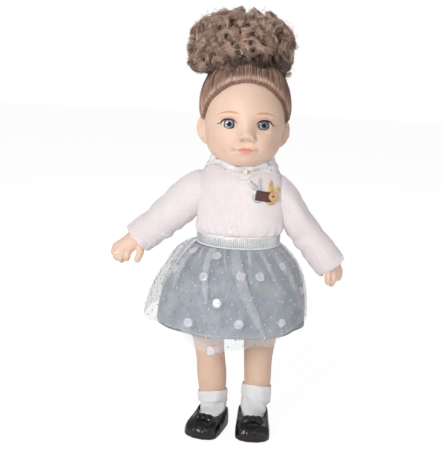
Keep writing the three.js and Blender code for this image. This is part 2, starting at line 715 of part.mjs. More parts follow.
const headGroup = new THREE.Group();
headGroup.name = "head";
doll.add(headGroup);
piece(headGroup, "head_shell", headShell, vinyl);
for (const mirrored of [false, true]) {
  const side = mirrored ? "right" : "left";
  piece(headGroup, `eye_ball_${side}`, tilted(eyeBall(0).subtract(ballFront)), eyeWhite, mirrored);
  piece(headGroup, `eye_iris_${side}`, tilted(iris), irisBlue, mirrored);
  piece(headGroup, `eye_lens_${side}`, tilted(lens), clearLens, mirrored);
}

// Hair drawn up from the hairline, the tie at the crown, and the puff of curls over it
const faceWindow = new THREE.Shape();
faceWindow.absellipse(0, -2, hairlineHalfWidth, hairlineRise + 2, 0, 2 * Math.PI);
const windowPrism = new THREE.ExtrudeGeometry(faceWindow, straight(12));
windowPrism.rotateX(Math.PI / 2).translate(0, -headHalfDepth * 0.1, 0);
const earLine = new THREE.Shape();
earLine.moveTo(-far, -far);
earLine.lineTo(headHalfDepth * 0.4, -far);
earLine.lineTo(headHalfDepth * 0.4, -napeDrop);
earLine.quadraticCurveTo(headHalfDepth * 0.34, -2, headHalfDepth * 0.05, -1);
earLine.quadraticCurveTo(-headHalfDepth * 0.3, -1, -headHalfDepth * 0.44, -10);
earLine.lineTo(-far, -10);
const belowTemple = solidOf(sidePrism(earLine, 5).translate(-far / 2, 0, 0));
const hairOuter = (grow) => eggForm(hairThickness + grow, 22, 14, false);
const hairCap = cutAll(hairOuter(0), [
  eggForm(hairLift, 20, 12, false),
  bothSides(earForm(seam)),
  solidOf(windowPrism),
  belowTemple,
  belowZ(-napeDrop),
]);
piece(headGroup, "hair_cap", tilted(hairCap), hairBrown);

const crown = headHalfHeight + hairThickness;
const tieSeat = crown * Math.sqrt(1 - (hairTieRadius / (headHalfDepth + hairThickness)) ** 2);
const tieForm = (grow) => {
  const torus = new THREE.TorusGeometry(hairTieRadius, hairTieThickness + grow, 4, 9);
  return solidOf(torus.translate(0, 0, tieSeat + hairTieThickness * 0.7));
};
piece(headGroup, "hair_tie", tilted(tieForm(0).subtract(hairOuter(seam))), blackElastic);

function puffForm() {
  const geometry = new THREE.SphereGeometry(1, 23, 12).rotateX(Math.PI / 2);
  const point = geometry.attributes.position;
  for (let i = 0; i < point.count; i++) {
    const p = vector(point.getX(i), point.getY(i), point.getZ(i));
    const turn = Math.atan2(p.y, p.x);
    const level = Math.hypot(p.x, p.y);
    const lobes = Math.sin(7 * turn + 4 * p.z) * Math.sin(6 * p.z + 2 * turn) * level;
    const swell = (1 - curlDepth / 2 + curlDepth * lobes) * (1 + puffFullness * (level * p.z) ** 2);
    point.setXYZ(i,
      puffHalfWidth * p.x * swell + puffShift,
      puffHalfDepth * p.y * swell + 6,
      puffHalfHeight * p.z * swell + puffRise);
  }
  return solidOf(geometry);
}
const puffSeat = eggForm(hairThickness + hairLift, 14, 9, false);
piece(headGroup, "hair_puff", tilted(cutAll(puffForm(), [puffSeat, tieForm(seam)])), hairBrown);

// Arms: made on the left and mirrored for the right
const shoulderAt = vector(armholeHalfSpan + armBallOffset, 0, shoulderHeight);
const hanging = (angle) => vector(Math.sin(radians(angle)), 0, -Math.cos(radians(angle)));
function armPoint(lift, distance) {
  const above = Math.min(distance, upperArmLength);
  const elbow = shoulderAt.clone().addScaledVector(hanging(lift - elbowBend / 2), above);
  return elbow.addScaledVector(hanging(lift + elbowBend / 2), distance - above);
}

function handForm(lift) {
  const wrist = armPoint(lift, upperArmLength + forearmLength);
  const down = hanging(lift - 6);
  const out = vector(-down.z, 0, down.x);
  const palmLength = wristHalfWidth * 1.35;
  const palm = new THREE.SphereGeometry(1, 8, 6);
  palm.scale(wristHalfWidth * 1.25, wristHalfWidth * 0.75, palmLength);
  const palmAt = wrist.clone().addScaledVector(down, palmLength * 0.75);
  palm.rotateY(-radians(lift - 6)).translate(palmAt.x, palmAt.y, palmAt.z);
  const spread = [-1, -0.34, 0.34, 1];
  const fingers = spread.map((place) => {
    const knuckle = palmAt.clone()
      .addScaledVector(out, place * fingerRadius * 2.55)
      .addScaledVector(down, palmLength * 0.5);
    const tip = knuckle.clone()
      .addScaledVector(hanging(lift * 0.45), fingerRadius * (3.3 - Math.abs(place) * 0.6))
      .add(vector(0, fingerRadius * 0.6, 0));
    return rod(knuckle, tip, fingerRadius);
  });
  const thumbRoot = palmAt.clone().addScaledVector(out, -wristHalfWidth * 0.9);
  thumbRoot.y -= fingerRadius;
  const thumbTip = thumbRoot.clone().addScaledVector(hanging(lift * 0.3), fingerRadius * 3.4);
  return joinAll([solidOf(palm), ...fingers, rod(thumbRoot, thumbTip, fingerRadius)]);
}

function armSolids(lift, sleeveEnd) {
  const wristAt = upperArmLength + forearmLength;
  const arm = (grow, end, steps, count) => loft(limbRings([
    [armPoint(lift, 0), armBallRadius - 1.5, armBallRadius - 1.5],
    [armPoint(lift, upperArmLength * 0.5), 13, 13],
    [armPoint(lift, upperArmLength), 12.2, 12],
    [armPoint(lift, upperArmLength + forearmLength * 0.5), 11.4, 11],
    [armPoint(lift, end), wristHalfWidth, wristHalfWidth * 0.85],
  ], steps, count, grow));
  const ball = (grow) =>
    ellipsoid(shoulderAt, vector(1, 1, 1).multiplyScalar(armBallRadius + grow), 10, 6)
      .subtract(withinX(armFace - grow));
  const inside = arm(-vinylThickness, wristAt - 6, 3, 8)
    .add(ball(-vinylThickness))
    .subtract(withinX(armFace + vinylThickness));
  const outside = arm(0, wristAt + 4, 5, 10).subtract(withinX(armFace));
  const shell = cutAll(joinAll([ball(0), outside, handForm(lift)]), [
    inside,
    cylinderAlongX(0, armFace + vinylThickness + 1, elasticRadius + 1.5, shoulderHeight, 10),
  ]);
  const seamPlane = armholeHalfSpan;
  const sleeveStations = [
    [vector(seamPlane - armholeRadius, 0, shoulderHeight + 3), armholeRadius, armholeRadius],
    [vector(seamPlane, 0, shoulderHeight), armholeRadius, armholeRadius],
    [armPoint(lift, upperArmLength * 0.28), armholeRadius - 2.2, armholeRadius - 2.6],
    [armPoint(lift, upperArmLength * 0.72), cuffRadius + 2.2, cuffRadius + 1.2],
    [armPoint(lift, upperArmLength + forearmLength * 0.3), cuffRadius + 0.6, cuffRadius - 0.4],
    [armPoint(lift, sleeveEnd), cuffRadius, cuffRadius - 1],
  ];
  const sleeveOuter = limbRings(sleeveStations, 9, 14);
  const sleeveInner = limbRings(sleeveStations, 9, 14, -knitThickness);
  const sleeve = loft([...sleeveOuter, ...sleeveInner.toReversed()], true).subtract(withinX(seamPlane));
  const cup = turnedAlongX([
    [armCupAt, elasticRadius + seam],
    [armCupAt, cupRadius],
    [armCupAt + cupThickness, cupRadius],
    [armCupAt + cupThickness, elasticRadius + seam],
    [armCupAt, elasticRadius + seam],
  ], shoulderHeight);
  return { shell, sleeve, cup };
}

// Legs: the foot, the sock and the shoe are the same form grown by successive layers
const footFoot = soleThickness + seam + sockThickness + seam;
const ankleAt = (side) => vector(ankleHalfSpan[side], 0, ankleHeight);
function footForm(side, grow, lower = 0) {
  const turn = radians(toeOut[side]);
  const toward = vector(Math.sin(turn), -Math.cos(turn), 0);
  const across = vector(Math.cos(turn), Math.sin(turn), 0);
  const footLength = heelLength + toeLength;
  const stations = [
    [0, 0.42, 0.7], [0.06, 0.68, 1.15], [0.22, 0.82, 1.4], [0.45, 0.9, 1.3],
    [0.7, 1, 1], [0.88, 0.9, 0.82], [0.97, 0.63, 0.66], [1, 0.38, 0.5],
  ];
  const rings = stations.map(([share, width, height], i) => {
    const ends = i === 0 ? -grow : i === stations.length - 1 ? grow : 0;
    const centre = ankleAt(side).addScaledVector(toward, share * footLength - heelLength + ends);
    centre.z = footFoot + footHalfHeight * height - lower;
    const halfWidth = footHalfWidth * width + grow;
    return ring(centre, across, vector(0, 0, 1), halfWidth, footHalfHeight * height + grow, 10, 0.8);
  });
  return loft(rings);
}

function legSolids(side) {
  const hip = vector(hipHalfSpan, 0, hipHeight);
  const at = (share) => hip.clone().lerp(ankleAt(side), share);
  const bowOut = side === "right" ? 4 : 1.5;
  const leg = (grow, from, to, steps = 7, count = 10) => loft(limbRings([
    [at(0), legBallRadius - 0.6, legBallRadius - 0.6],
    [at(0.2).add(vector(bowOut, 0, 0)), legBallRadius - 1, legBallRadius - 0.8],
    [at(0.45).add(vector(bowOut, 0, 0)), kneeRadius + 2.4, kneeRadius + 2],
    [at(0.6), kneeRadius, kneeRadius],
    [at(0.75), kneeRadius - 0.8, kneeRadius + 0.4],
    [at(1), ankleRadius, ankleRadius],
  ], steps, count, grow)).subtract(belowZ(from)).subtract(aboveZ(to));
  const ankleLow = footFoot + footHalfHeight;
  const inside = leg(-vinylThickness, ankleHeight + 6, far, 4, 8)
    .add(ballWithFlat(legBallRadius - vinylThickness, legFace + vinylThickness))
    .add(cylinderAlongX(legFace, hipHalfSpan, cupRadius + 2, hipHeight, 10));
  const insideThigh = withinX(legFace).subtract(belowZ(hipHeight - legBallRadius * 2.5));
  const bareLeg = joinAll([ballWithFlat(legBallRadius, legFace), leg(0, 0, far), footForm(side, 0)])
    .subtract(insideThigh);
  const shell = cutAll(bareLeg, [
    inside.subtract(withinX(legFace + vinylThickness)),
    cylinderAlongX(0, legFace + vinylThickness + 1, elasticRadius + 1.5, hipHeight, 10),
  ]);
  const top = sockTop[side];
  const sockOut = seam + sockThickness;
  const sockForm = (grow) => joinAll([
    leg(grow, ankleLow, top + 1),
    footForm(side, grow),
  ]);
  const cuff = leg(sockOut + sockCuffThickness, top - sockCuffHeight, top);
  const sockSolid = joinAll([leg(sockOut, ankleLow, top), footForm(side, sockOut), cuff]);
  const sock = sockSolid.subtract(sockForm(seam));
  const shoeIn = sockOut + seam;
  const mouthHalfWidth = shoeMouthHalfLength - 2;
  const [sideways, lengthways] = [vector(1, 0, 0), vector(0, 1, 0)];
  const mouth = ring(ankleAt(side), sideways, lengthways, mouthHalfWidth, shoeMouthHalfLength, 12);
  const mouthPrism = loft([
    mouth.map((p) => p.clone().setZ(footFoot + footHalfHeight * 1.5)),
    mouth.map((p) => p.clone().setZ(far)),
  ]);
  const upper = cutAll(footForm(side, shoeIn + shoeThickness), [
    footForm(side, shoeIn),
    leg(shoeIn, 0, far),
    mouthPrism,
    belowZ(soleThickness + seam),
  ]);
  const soleSlab = block(vector(-far, -far, 0), vector(far, far, soleThickness));
  const soleForm = footForm(side, shoeIn + shoeThickness + 0.4, footFoot + footHalfHeight * 0.7);
  const sole = soleForm.intersect(soleSlab);
  const turn = radians(toeOut[side]);
  const toward = vector(Math.sin(turn), -Math.cos(turn), 0);
  const across = vector(Math.cos(turn), Math.sin(turn), 0);
  const bowAt = ankleAt(side).addScaledVector(toward, shoeMouthHalfLength + 4.5);
  bowAt.z = footFoot + footHalfHeight * 2.5 + shoeIn + shoeThickness;
  const wing = (sign) => {
    const lobe = new THREE.SphereGeometry(1, 8, 6).scale(bowHalfLength * 0.52, 4.2, 3.2);
    lobe.rotateZ(turn);
    const middle = bowAt.clone().addScaledVector(across, sign * bowHalfLength * 0.5);
    return solidOf(lobe.translate(middle.x, middle.y, middle.z));
  };
  const knot = ellipsoid(bowAt, vector(3.4, 3.2, 3.6), 8, 6);
  const bow = cutAll(joinAll([wing(-1), wing(1), knot]), [
    footForm(side, shoeIn + shoeThickness + seam),
    leg(sockOut + sockCuffThickness + seam, 0, far),
  ]);
  const cup = turnedAlongX([
    [legCupAt, elasticRadius + seam],
    [legCupAt, cupRadius],
    [legCupAt + cupThickness, cupRadius],
    [legCupAt + cupThickness, elasticRadius + seam],
    [legCupAt, elasticRadius + seam],
  ], hipHeight);
  return { shell, cup, sock, upper, sole, bow };
}

const hipGroup = new THREE.Group();
hipGroup.name = "hip_cord";
doll.add(hipGroup);
piece(hipGroup, "hip_elastic", elasticThrough(legCupAt, hipHeight), whiteElastic);

for (const side of ["left", "right"]) {
  const mirrored = side === "right";
  const armGroup = new THREE.Group();
  armGroup.name = `arm_${side}_body`;
  doll.add(armGroup);
  const arm = armSolids(armLift[side], sleeveLength[side]);
  piece(armGroup, `arm_${side}`, arm.shell, vinyl, mirrored);
  piece(armGroup, `arm_cup_${side}`, arm.cup, whiteCup, mirrored);
  piece(armGroup, `sleeve_${side}`, arm.sleeve, pinkKnit, mirrored);

  const legGroup = new THREE.Group();
  legGroup.name = `leg_${side}_body`;
  doll.add(legGroup);
  const leg = legSolids(side);
  piece(legGroup, `leg_${side}`, leg.shell, vinyl, mirrored);
  piece(legGroup, `leg_cup_${side}`, leg.cup, whiteCup, mirrored);
  piece(legGroup, `sock_${side}`, leg.sock, whiteSock, mirrored);
  piece(legGroup, `shoe_upper_${side}`, leg.upper, blackPatent, mirrored);
  piece(legGroup, `shoe_sole_${side}`, leg.sole, redSole, mirrored);
  piece(legGroup, `shoe_bow_${side}`, leg.bow, blackPatent, mirrored);
}

// The origin is the middle of the doll's box on the floor
const outline = new THREE.Box3().setFromObject(doll);
const boxMiddle = outline.getCenter(vector(0, 0, 0));
doll.position.set(-boxMiddle.x, -boxMiddle.y, -outline.min.z);

const part = new THREE.Group();
part.add(doll);
export default part;
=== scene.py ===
# %% [markdown]
# A dressed play doll, about 46 cm tall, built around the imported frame. The frame gives the bodies and
# joints. Every piece below is made in the same place as the solid it stands for, in millimetres from the
# doll's own middle, and turned into metres only when its mesh is made.

# %% Load the frame and keep its box
import json
import math

import bmesh
import bpy
import numpy as np
from mathutils import Matrix, Vector


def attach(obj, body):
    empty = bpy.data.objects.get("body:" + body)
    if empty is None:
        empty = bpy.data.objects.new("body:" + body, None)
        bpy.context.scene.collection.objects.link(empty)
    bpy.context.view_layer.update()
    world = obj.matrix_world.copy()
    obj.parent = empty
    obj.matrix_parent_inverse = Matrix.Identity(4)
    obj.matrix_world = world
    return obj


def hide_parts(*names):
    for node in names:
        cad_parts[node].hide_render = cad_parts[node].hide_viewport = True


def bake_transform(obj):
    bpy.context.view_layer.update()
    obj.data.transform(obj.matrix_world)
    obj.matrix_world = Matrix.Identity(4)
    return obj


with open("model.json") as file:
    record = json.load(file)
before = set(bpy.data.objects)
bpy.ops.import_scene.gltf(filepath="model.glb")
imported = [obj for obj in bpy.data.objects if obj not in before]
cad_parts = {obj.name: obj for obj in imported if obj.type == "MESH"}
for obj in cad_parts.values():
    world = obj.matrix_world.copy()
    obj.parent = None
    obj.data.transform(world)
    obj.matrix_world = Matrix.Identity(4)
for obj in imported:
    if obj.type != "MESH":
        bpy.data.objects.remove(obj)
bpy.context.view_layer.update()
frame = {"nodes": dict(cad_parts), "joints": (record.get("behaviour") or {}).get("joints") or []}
MM = 0.001
joint_at = {j["name"]: np.array(j["pos_m"]) / MM for j in frame["joints"]}
middle = np.array([joint_at["head_turn"][0], 0.0, 0.0])
neck_z = joint_at["head_turn"][2]
shoulder_z = joint_at["shoulder_left_swing"][2]
armhole_x = joint_at["shoulder_left_swing"][0] - middle[0]
hip_z = joint_at["hips_sit"][2]
hip_x = joint_at["hip_left_swing"][0] - middle[0]
print("neck", neck_z, "shoulder", shoulder_z, armhole_x, "hip", hip_z, hip_x)

# %% [markdown]
# The photograph is taken from just above the hair, about a metre away, looking down with a longish lens. The
# camera could be set by eye, but a fit of the feet, belt, chin and hair gives it directly: where it stands,
# how far it looks down, and a small roll that tips the doll clockwise in the picture.

# %% Camera
CAMERA_AT = np.array([-19.0, -1090.0, 480.0])
LOOK_DOWN = 12.893
ROLL = 2.7
LENS = 82.6
camera_data = bpy.data.cameras.new("camera")
camera_data.lens = LENS
camera_data.sensor_width = 36
camera = bpy.data.objects.new("camera", camera_data)
bpy.context.scene.collection.objects.link(camera)
camera.location = Vector((CAMERA_AT + middle) * MM)
aim = Matrix.Rotation(math.radians(90 - LOOK_DOWN), 4, "X") @ Matrix.Rotation(math.radians(ROLL), 4, "Z")
camera.rotation_euler = aim.to_euler()
bpy.context.scene.camera = camera
bpy.context.scene.view_settings.view_transform = "Standard"

# %% [markdown]
# The studio is a white floor and soft light, stronger from the left, as the shadows on the face show. Large
# area lamps give soft edges; one weak, narrow beam from the right is aimed at the waist. The white behind
# the doll comes from the world and floor as the camera sees them, so the lamps can stay at a plain level
# and pale cloth keeps its tone.

# %% Light
def light_path_mask(tree):
    """1 where a camera or see-through ray meets the surface."""
    path = tree.nodes.new("ShaderNodeLightPath")
    either = tree.nodes.new("ShaderNodeMath")
    either.operation = "MAXIMUM"
    tree.links.new(path.outputs["Is Camera Ray"], either.inputs[0])
    tree.links.new(path.outputs["Is Transmission Ray"], either.inputs[1])
    return either.outputs[0]


def mix_shaders(tree, share, first, second, surface):
    """Leads two shaders, mixed by a share, to a surface."""
    node = tree.nodes.new("ShaderNodeMixShader")
    for spot, part in zip(node.inputs, (share, first, second)):
        tree.links.new(part.outputs[0], spot)
    tree.links.new(node.outputs[0], surface)


AMBIENT = 0.36
FLOOR_SIZE, FLOOR_DROP = 6.0, 0.0004
FLOOR_GLOW, GLOW_SHARE = 1.04, 0.9
world = bpy.data.worlds.new("studio")
bpy.context.scene.world = world
world.use_nodes = True
tree = world.node_tree
tree.nodes.clear()
strength = tree.nodes.new("ShaderNodeMapRange")
strength.inputs["To Min"].default_value = AMBIENT
strength.inputs["To Max"].default_value = 1.0
tree.links.new(light_path_mask(tree), strength.inputs["Value"])
sky = tree.nodes.new("ShaderNodeBackground")
sky.inputs["Color"].default_value = (1, 1, 1, 1)
tree.links.new(strength.outputs[0], sky.inputs["Strength"])
tree.links.new(sky.outputs[0], tree.nodes.new("ShaderNodeOutputWorld").inputs["Surface"])


def soft_lamp(name, at, toward, size, watts, spread=180):
    data = bpy.data.lights.new(name, "AREA")
    data.shape = "DISK"
    data.size = size
    data.energy = watts
    data.spread = math.radians(spread)
    lamp = bpy.data.objects.new(name, data)
    bpy.context.scene.collection.objects.link(lamp)
    lamp.location = at
    lamp.rotation_euler = (Vector(toward) - Vector(at)).to_track_quat("-Z", "Y").to_euler()


soft_lamp("key_lamp", (-0.7, -1.4, 0.88), (0, 0, 0.26), 0.45, 16.5)
soft_lamp("fill_lamp", (1.2, -1.3, 0.6), (0, 0, 0.22), 1.0, 1.5)
soft_lamp("side_lamp", (1.15, -0.8, 0.2), (0.06, 0, 0.205), 0.2, 0.022, 13)
soft_lamp("back_lamp", (0.2, 1.2, 1.3), (0, 0, 0.3), 0.9, 7)

# %% [markdown]
# The floor is matt white paper. A lit plane alone would turn grey away from the lamps, so to the camera it
# also glows, enough to meet the white behind it, and the shadows under the shoes still show a little.

# %% Floor
bpy.ops.mesh.primitive_plane_add(size=FLOOR_SIZE, location=(0, 0, -FLOOR_DROP))
floor = bpy.context.object
floor.name = "floor"
paper = bpy.data.materials.new("floor_paper")
paper.use_nodes = True
tree = paper.node_tree
lit = tree.nodes["Principled BSDF"]
lit.inputs["Base Color"].default_value = (0.97, 0.97, 0.97, 1)
lit.inputs["Roughness"].default_value = 0.9
glow = tree.nodes.new("ShaderNodeEmission")
glow.inputs["Strength"].default_value = FLOOR_GLOW
share = tree.nodes.new("ShaderNodeMapRange")
share.inputs["To Max"].default_value = GLOW_SHARE
tree.links.new(light_path_mask(tree), share.inputs["Value"])
mix_shaders(tree, share, lit, glow, tree.nodes["Material Output"].inputs["Surface"])
floor.data.materials.append(paper)
print("camera", tuple(round(v, 3) for v in camera.location))

# %% [markdown]
# Most pieces of a doll are tubes or turned shells: limbs, sleeves, socks, skirt, hair. One helper makes a
# piece from rows of points, with texture coordinates in millimetres round and along it, so a stitch pattern
# has its real scale. Modifiers could do the same from a few control points, but rows keep every size in
# plain sight.

# %% Helpers for meshes
SIDES = ((1, "left"), (-1, "right"))


def around(count):
    """Even angles once round."""
    return np.arange(count) * 2 * np.pi / count


def unit(way):
    """The same direction, one long."""
    return way / np.linalg.norm(way, axis=-1, keepdims=True)


def smooth(t):
    t = np.clip(t, 0, 1)
    return t * t * (3 - 2 * t)


def bump(distance):
    return np.exp(-0.5 * distance * distance)


def spline(stations, count):
    """Rows of numbers that run smoothly through the stations."""
    p = np.asarray(stations, float)
    p = np.vstack([2 * p[0] - p[1], p, 2 * p[-1] - p[-2]])
    t = np.linspace(0, len(stations) - 1, count)
    i = np.minimum(t.astype(int), len(stations) - 2)
    f = (t - i)[:, None]
    a, b, c, d = p[i], p[i + 1], p[i + 2], p[i + 3]
    return 0.5 * (2 * b + (c - a) * f + (2 * a - 5 * b + 4 * c - d) * f**2 + (3 * b - a - 3 * c + d) * f**3)


def ring(count, power=1.0):
    """Cosines and sines round a circle; a power under 1 makes it squarer."""
    c, s = np.cos(around(count)), np.sin(around(count))
    return np.sign(c) * np.abs(c) ** power, np.sign(s) * np.abs(s) ** power


def oval_rows(wide, deep, z, c, s):
    """Level ovals from half-widths, half-depths and heights, against cosines and sines."""
    return np.stack([wide * c, deep * s, z + 0 * c], -1)


def ball_grid(rows, count, gap):
    """Angles and points of a ball of radius 1; the gap leaves out its poles."""
    polar = np.linspace(gap, np.pi - gap, rows)[:, None]
    turn = around(count)[None, :]
    flat = np.sin(polar)
    return polar, turn, np.stack([flat * np.cos(turn), flat * np.sin(turn), np.cos(polar) + 0 * turn], -1)


def limb_rows(stations, rows, count):
    """Rings square to a path. A station is x, y, z, half-width and half-depth."""
    line = spline(stations, rows)
    along = np.gradient(line[:, :3], axis=0)
    across = unit(np.cross(along, [0, 1, 0]))
    c, s = ring(count)
    deep = np.array([0, 1, 0])
    return (line[:, None, :3] + (line[:, 3, None] * c)[..., None] * across[:, None, :]
            + (line[:, 4, None] * s)[..., None] * deep)

# %% [markdown]
# Here rows become faces. A grid is one skin; many thin tubes share one mesh, for hair and stitches, since a
# curve object for each would be slow. A piece is then dressed: its finish, the body it moves with and the
# solids it stands for.

# %% Helpers that make pieces
def smooth_piece(name, mesh):
    """An object in the scene for a mesh, shaded smooth."""
    mesh.polygons.foreach_set("use_smooth", [True] * len(mesh.polygons))
    piece = bpy.data.objects.new(name, mesh)
    bpy.context.scene.collection.objects.link(piece)
    return piece


def new_piece(name, points, faces, uvs=None, outward=True):
    """A mesh object from points in doll millimetres."""
    mesh = bpy.data.meshes.new(name)
    mesh.from_pydata(((np.asarray(points) + middle) * MM).tolist(), [], [tuple(f) for f in faces])
    if uvs is not None:
        layer = mesh.uv_layers.new(name="UVMap")
        layer.data.foreach_set("uv", np.asarray(uvs, np.float32).ravel())
    if outward:
        work = bmesh.new()
        work.from_mesh(mesh)
        bmesh.ops.recalc_face_normals(work, faces=work.faces)
        work.to_mesh(mesh)
        work.free()
    return smooth_piece(name, mesh)


def grid_faces(rows, count, start=0):
    """Faces of a grid of points whose last column meets the first."""
    r, c = np.meshgrid(np.arange(rows - 1), np.arange(count), indexing="ij")
    r, c = r.ravel(), c.ravel()
    n = (c + 1) % count
    return np.stack([r * count + c, r * count + n, (r + 1) * count + n, (r + 1) * count + c], 1) + start


def cap_faces(rows, count, start=0):
    """The two end faces of such a grid."""
    first = list(range(start, start + count))
    return [first[::-1], [(rows - 1) * count + i for i in first]]


def grid_piece(name, rows, caps=False, outward=True):
    """A skin over rows of points, (row, column, xyz), with texture coordinates in millimetres."""
    rows = np.asarray(rows, float)
    height, count = rows.shape[:2]
    faces = grid_faces(height, count)
    closed = np.concatenate([rows, rows[:, :1]], 1)
    step = np.linalg.norm(np.diff(closed, axis=1), axis=2).mean(0)
    round_mm = np.concatenate([[0], np.cumsum(step)])
    rise = np.linalg.norm(np.diff(rows, axis=0), axis=2).mean(1)
    along_mm = np.concatenate([[0], np.cumsum(rise)])
    r, c = np.divmod(np.arange(len(faces)), count)
    u = np.stack([round_mm[c], round_mm[c + 1], round_mm[c + 1], round_mm[c]], 1)
    v = np.stack([along_mm[r], along_mm[r], along_mm[r + 1], along_mm[r + 1]], 1)
    uvs = np.stack([u, v], 2).reshape(-1, 2)
    faces = faces.tolist()
    if caps:
        faces += cap_faces(height, count)
        uvs = np.concatenate([uvs, np.zeros((2 * count, 2))])
    return new_piece(name, rows.reshape(-1, 3), faces, uvs, outward)


def many_tubes(name, paths, radii, sides=3):
    """One mesh of many thin tubes: paths is (tube, point, xyz), radii one number or one for each point."""
    paths = np.asarray(paths, float)
    radii = np.broadcast_to(radii, paths.shape[:2])
    along = np.gradient(paths, axis=1)
    along /= np.linalg.norm(along, axis=2)[..., None] + 1e-9
    helper = np.where(np.abs(along[..., 2:3]) < 0.8, [0.0, 0.0, 1.0], [1.0, 0.0, 0.0])
    one = np.cross(along, helper)
    one /= np.linalg.norm(one, axis=2)[..., None] + 1e-9
    two = np.cross(along, one)
    c, s = ring(sides)
    points = (paths[:, :, None, :] + radii[:, :, None, None]
              * (c[:, None] * one[:, :, None, :] + s[:, None] * two[:, :, None, :]))
    tubes, length = paths.shape[:2]
    base = grid_faces(length, sides)
    faces = (base[None] + (np.arange(tubes) * length * sides)[:, None, None]).reshape(-1, 4)
    r, c2 = np.divmod(np.arange(len(base)), sides)
    run = np.stack([c2, c2 + 1, c2 + 1, c2], 1) / sides
    rise = np.stack([r, r, r + 1, r + 1], 1) / length
    uv_one = np.stack([run, rise], 2).reshape(-1, 2)
    shift = np.repeat(np.arange(tubes), len(uv_one))[:, None] * [[1.7, 0.0]]
    return new_piece(name, points.reshape(-1, 3), faces.tolist(), np.tile(uv_one, (tubes, 1)) + shift, False)


def dress(piece, finish, body, slot, *nodes):
    """Gives a piece its finish, the body it moves with and the solids it stands for; the slot is not used."""
    piece.data.materials.clear()
    piece.data.materials.append(finish)
    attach(piece, body)
    if nodes:
        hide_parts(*nodes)
    print("made", piece.name, len(piece.data.vertices), "points")
    return piece

# %% [markdown]
# Finishes are made from nodes only. Formulas such as a brow's curve need many small math nodes, so a tiny
# class lets them be written as ordinary sums. Heights for bumps are given in millimetres. A colour that is
# the same all over stays on the shader's own socket.

# %% Helpers for finishes
def srgb(red, green, blue):
    """A screen colour, 0 to 255, as the light value that shaders use."""
    def linear(v):
        v = v / 255
        return v / 12.92 if v <= 0.04045 else ((v + 0.055) / 1.055) ** 2.4
    return (linear(red), linear(green), linear(blue), 1.0)


class Wire:
    """A number that changes over a surface; arithmetic on it makes the math nodes."""

    def __init__(self, tree, socket):
        self.tree = tree
        self.socket = socket

    def math(self, operation, *others):
        node = self.tree.nodes.new("ShaderNodeMath")
        node.operation = operation
        for spot, value in zip(node.inputs, (self, *others)):
            if isinstance(value, Wire):
                self.tree.links.new(value.socket, spot)
            else:
                spot.default_value = value
        return Wire(self.tree, node.outputs[0])

    def __add__(self, other):
        return self.math("ADD", other)

    def __sub__(self, other):
        return self.math("SUBTRACT", other)

    def __mul__(self, other):
        return self.math("MULTIPLY", other)

    def __truediv__(self, other):
        return self.math("DIVIDE", other)

    def __rsub__(self, other):
        return self * -1.0 + other

    __radd__ = __add__
    __rmul__ = __mul__

    def ramp(self, low, high):
        """0 at low and 1 at high, eased between them."""
        node = self.tree.nodes.new("ShaderNodeMapRange")
        node.interpolation_type = "SMOOTHSTEP"
        node.inputs["From Min"].default_value = low
        node.inputs["From Max"].default_value = high
        self.tree.links.new(self.socket, node.inputs["Value"])
        return Wire(self.tree, node.outputs[0])

# %% [markdown]
# A finish starts from even values, and noise then varies its colour and bumps. Noise can be stretched,
# which makes grain in wood and strands in hair. Many small parts only waver between two tones, so one
# helper makes all of those.

# %% Helpers that build finishes
def new_finish(name, colour, roughness, **sockets):
    """A material with its even values set; returns it with its tree and shader."""
    finish = bpy.data.materials.new(name)
    finish.use_nodes = True
    shader = finish.node_tree.nodes["Principled BSDF"]
    shader.inputs["Base Color"].default_value = colour
    shader.inputs["Roughness"].default_value = roughness
    for key, value in sockets.items():
        shader.inputs[key.replace("_", " ")].default_value = value
    return finish, finish.node_tree, shader


def place_on(tree, kind="Object"):
    node = tree.nodes.new("ShaderNodeTexCoord")
    return node.outputs[kind]


def uv_mm(tree):
    """Millimetres round and along the piece."""
    node = tree.nodes.new("ShaderNodeSeparateXYZ")
    tree.links.new(place_on(tree, "UV"), node.inputs[0])
    return Wire(tree, node.outputs[0]), Wire(tree, node.outputs[1])


def object_mm(tree):
    """Millimetres across, deep and up, where the piece was made."""
    node = tree.nodes.new("ShaderNodeSeparateXYZ")
    tree.links.new(place_on(tree), node.inputs[0])
    return [Wire(tree, way) / MM for way in node.outputs]


def noise(tree, size_mm, detail=2.0, kind="Object", stretch=(1, 1, 1)):
    """Cloudy noise, 0 to 1, with blotches of about this size."""
    move = tree.nodes.new("ShaderNodeMapping")
    move.inputs["Scale"].default_value = stretch
    tree.links.new(place_on(tree, kind), move.inputs["Vector"])
    node = tree.nodes.new("ShaderNodeTexNoise")
    node.inputs["Scale"].default_value = 1 / (size_mm * (MM if kind == "Object" else 1))
    node.inputs["Detail"].default_value = detail
    tree.links.new(move.outputs[0], node.inputs["Vector"])
    return Wire(tree, node.outputs["Fac"])


def blend_colour(tree, factor, first, second):
    """Two colours mixed by a wire; each is a colour or another mix."""
    node = tree.nodes.new("ShaderNodeMix")
    node.data_type = "RGBA"
    tree.links.new(factor.socket, node.inputs[0])
    for spot, value in ((node.inputs[6], first), (node.inputs[7], second)):
        if isinstance(value, tuple):
            spot.default_value = value
        else:
            tree.links.new(value, spot)
    return node.outputs[2]


def colour_into(tree, shader, colour):
    tree.links.new(colour, shader.inputs["Base Color"])


def bump_into(tree, shader, height_mm):
    node = tree.nodes.new("ShaderNodeBump")
    node.inputs["Strength"].default_value = 1.0
    node.inputs["Distance"].default_value = MM
    tree.links.new(height_mm.socket, node.inputs["Height"])
    tree.links.new(node.outputs[0], shader.inputs["Normal"])


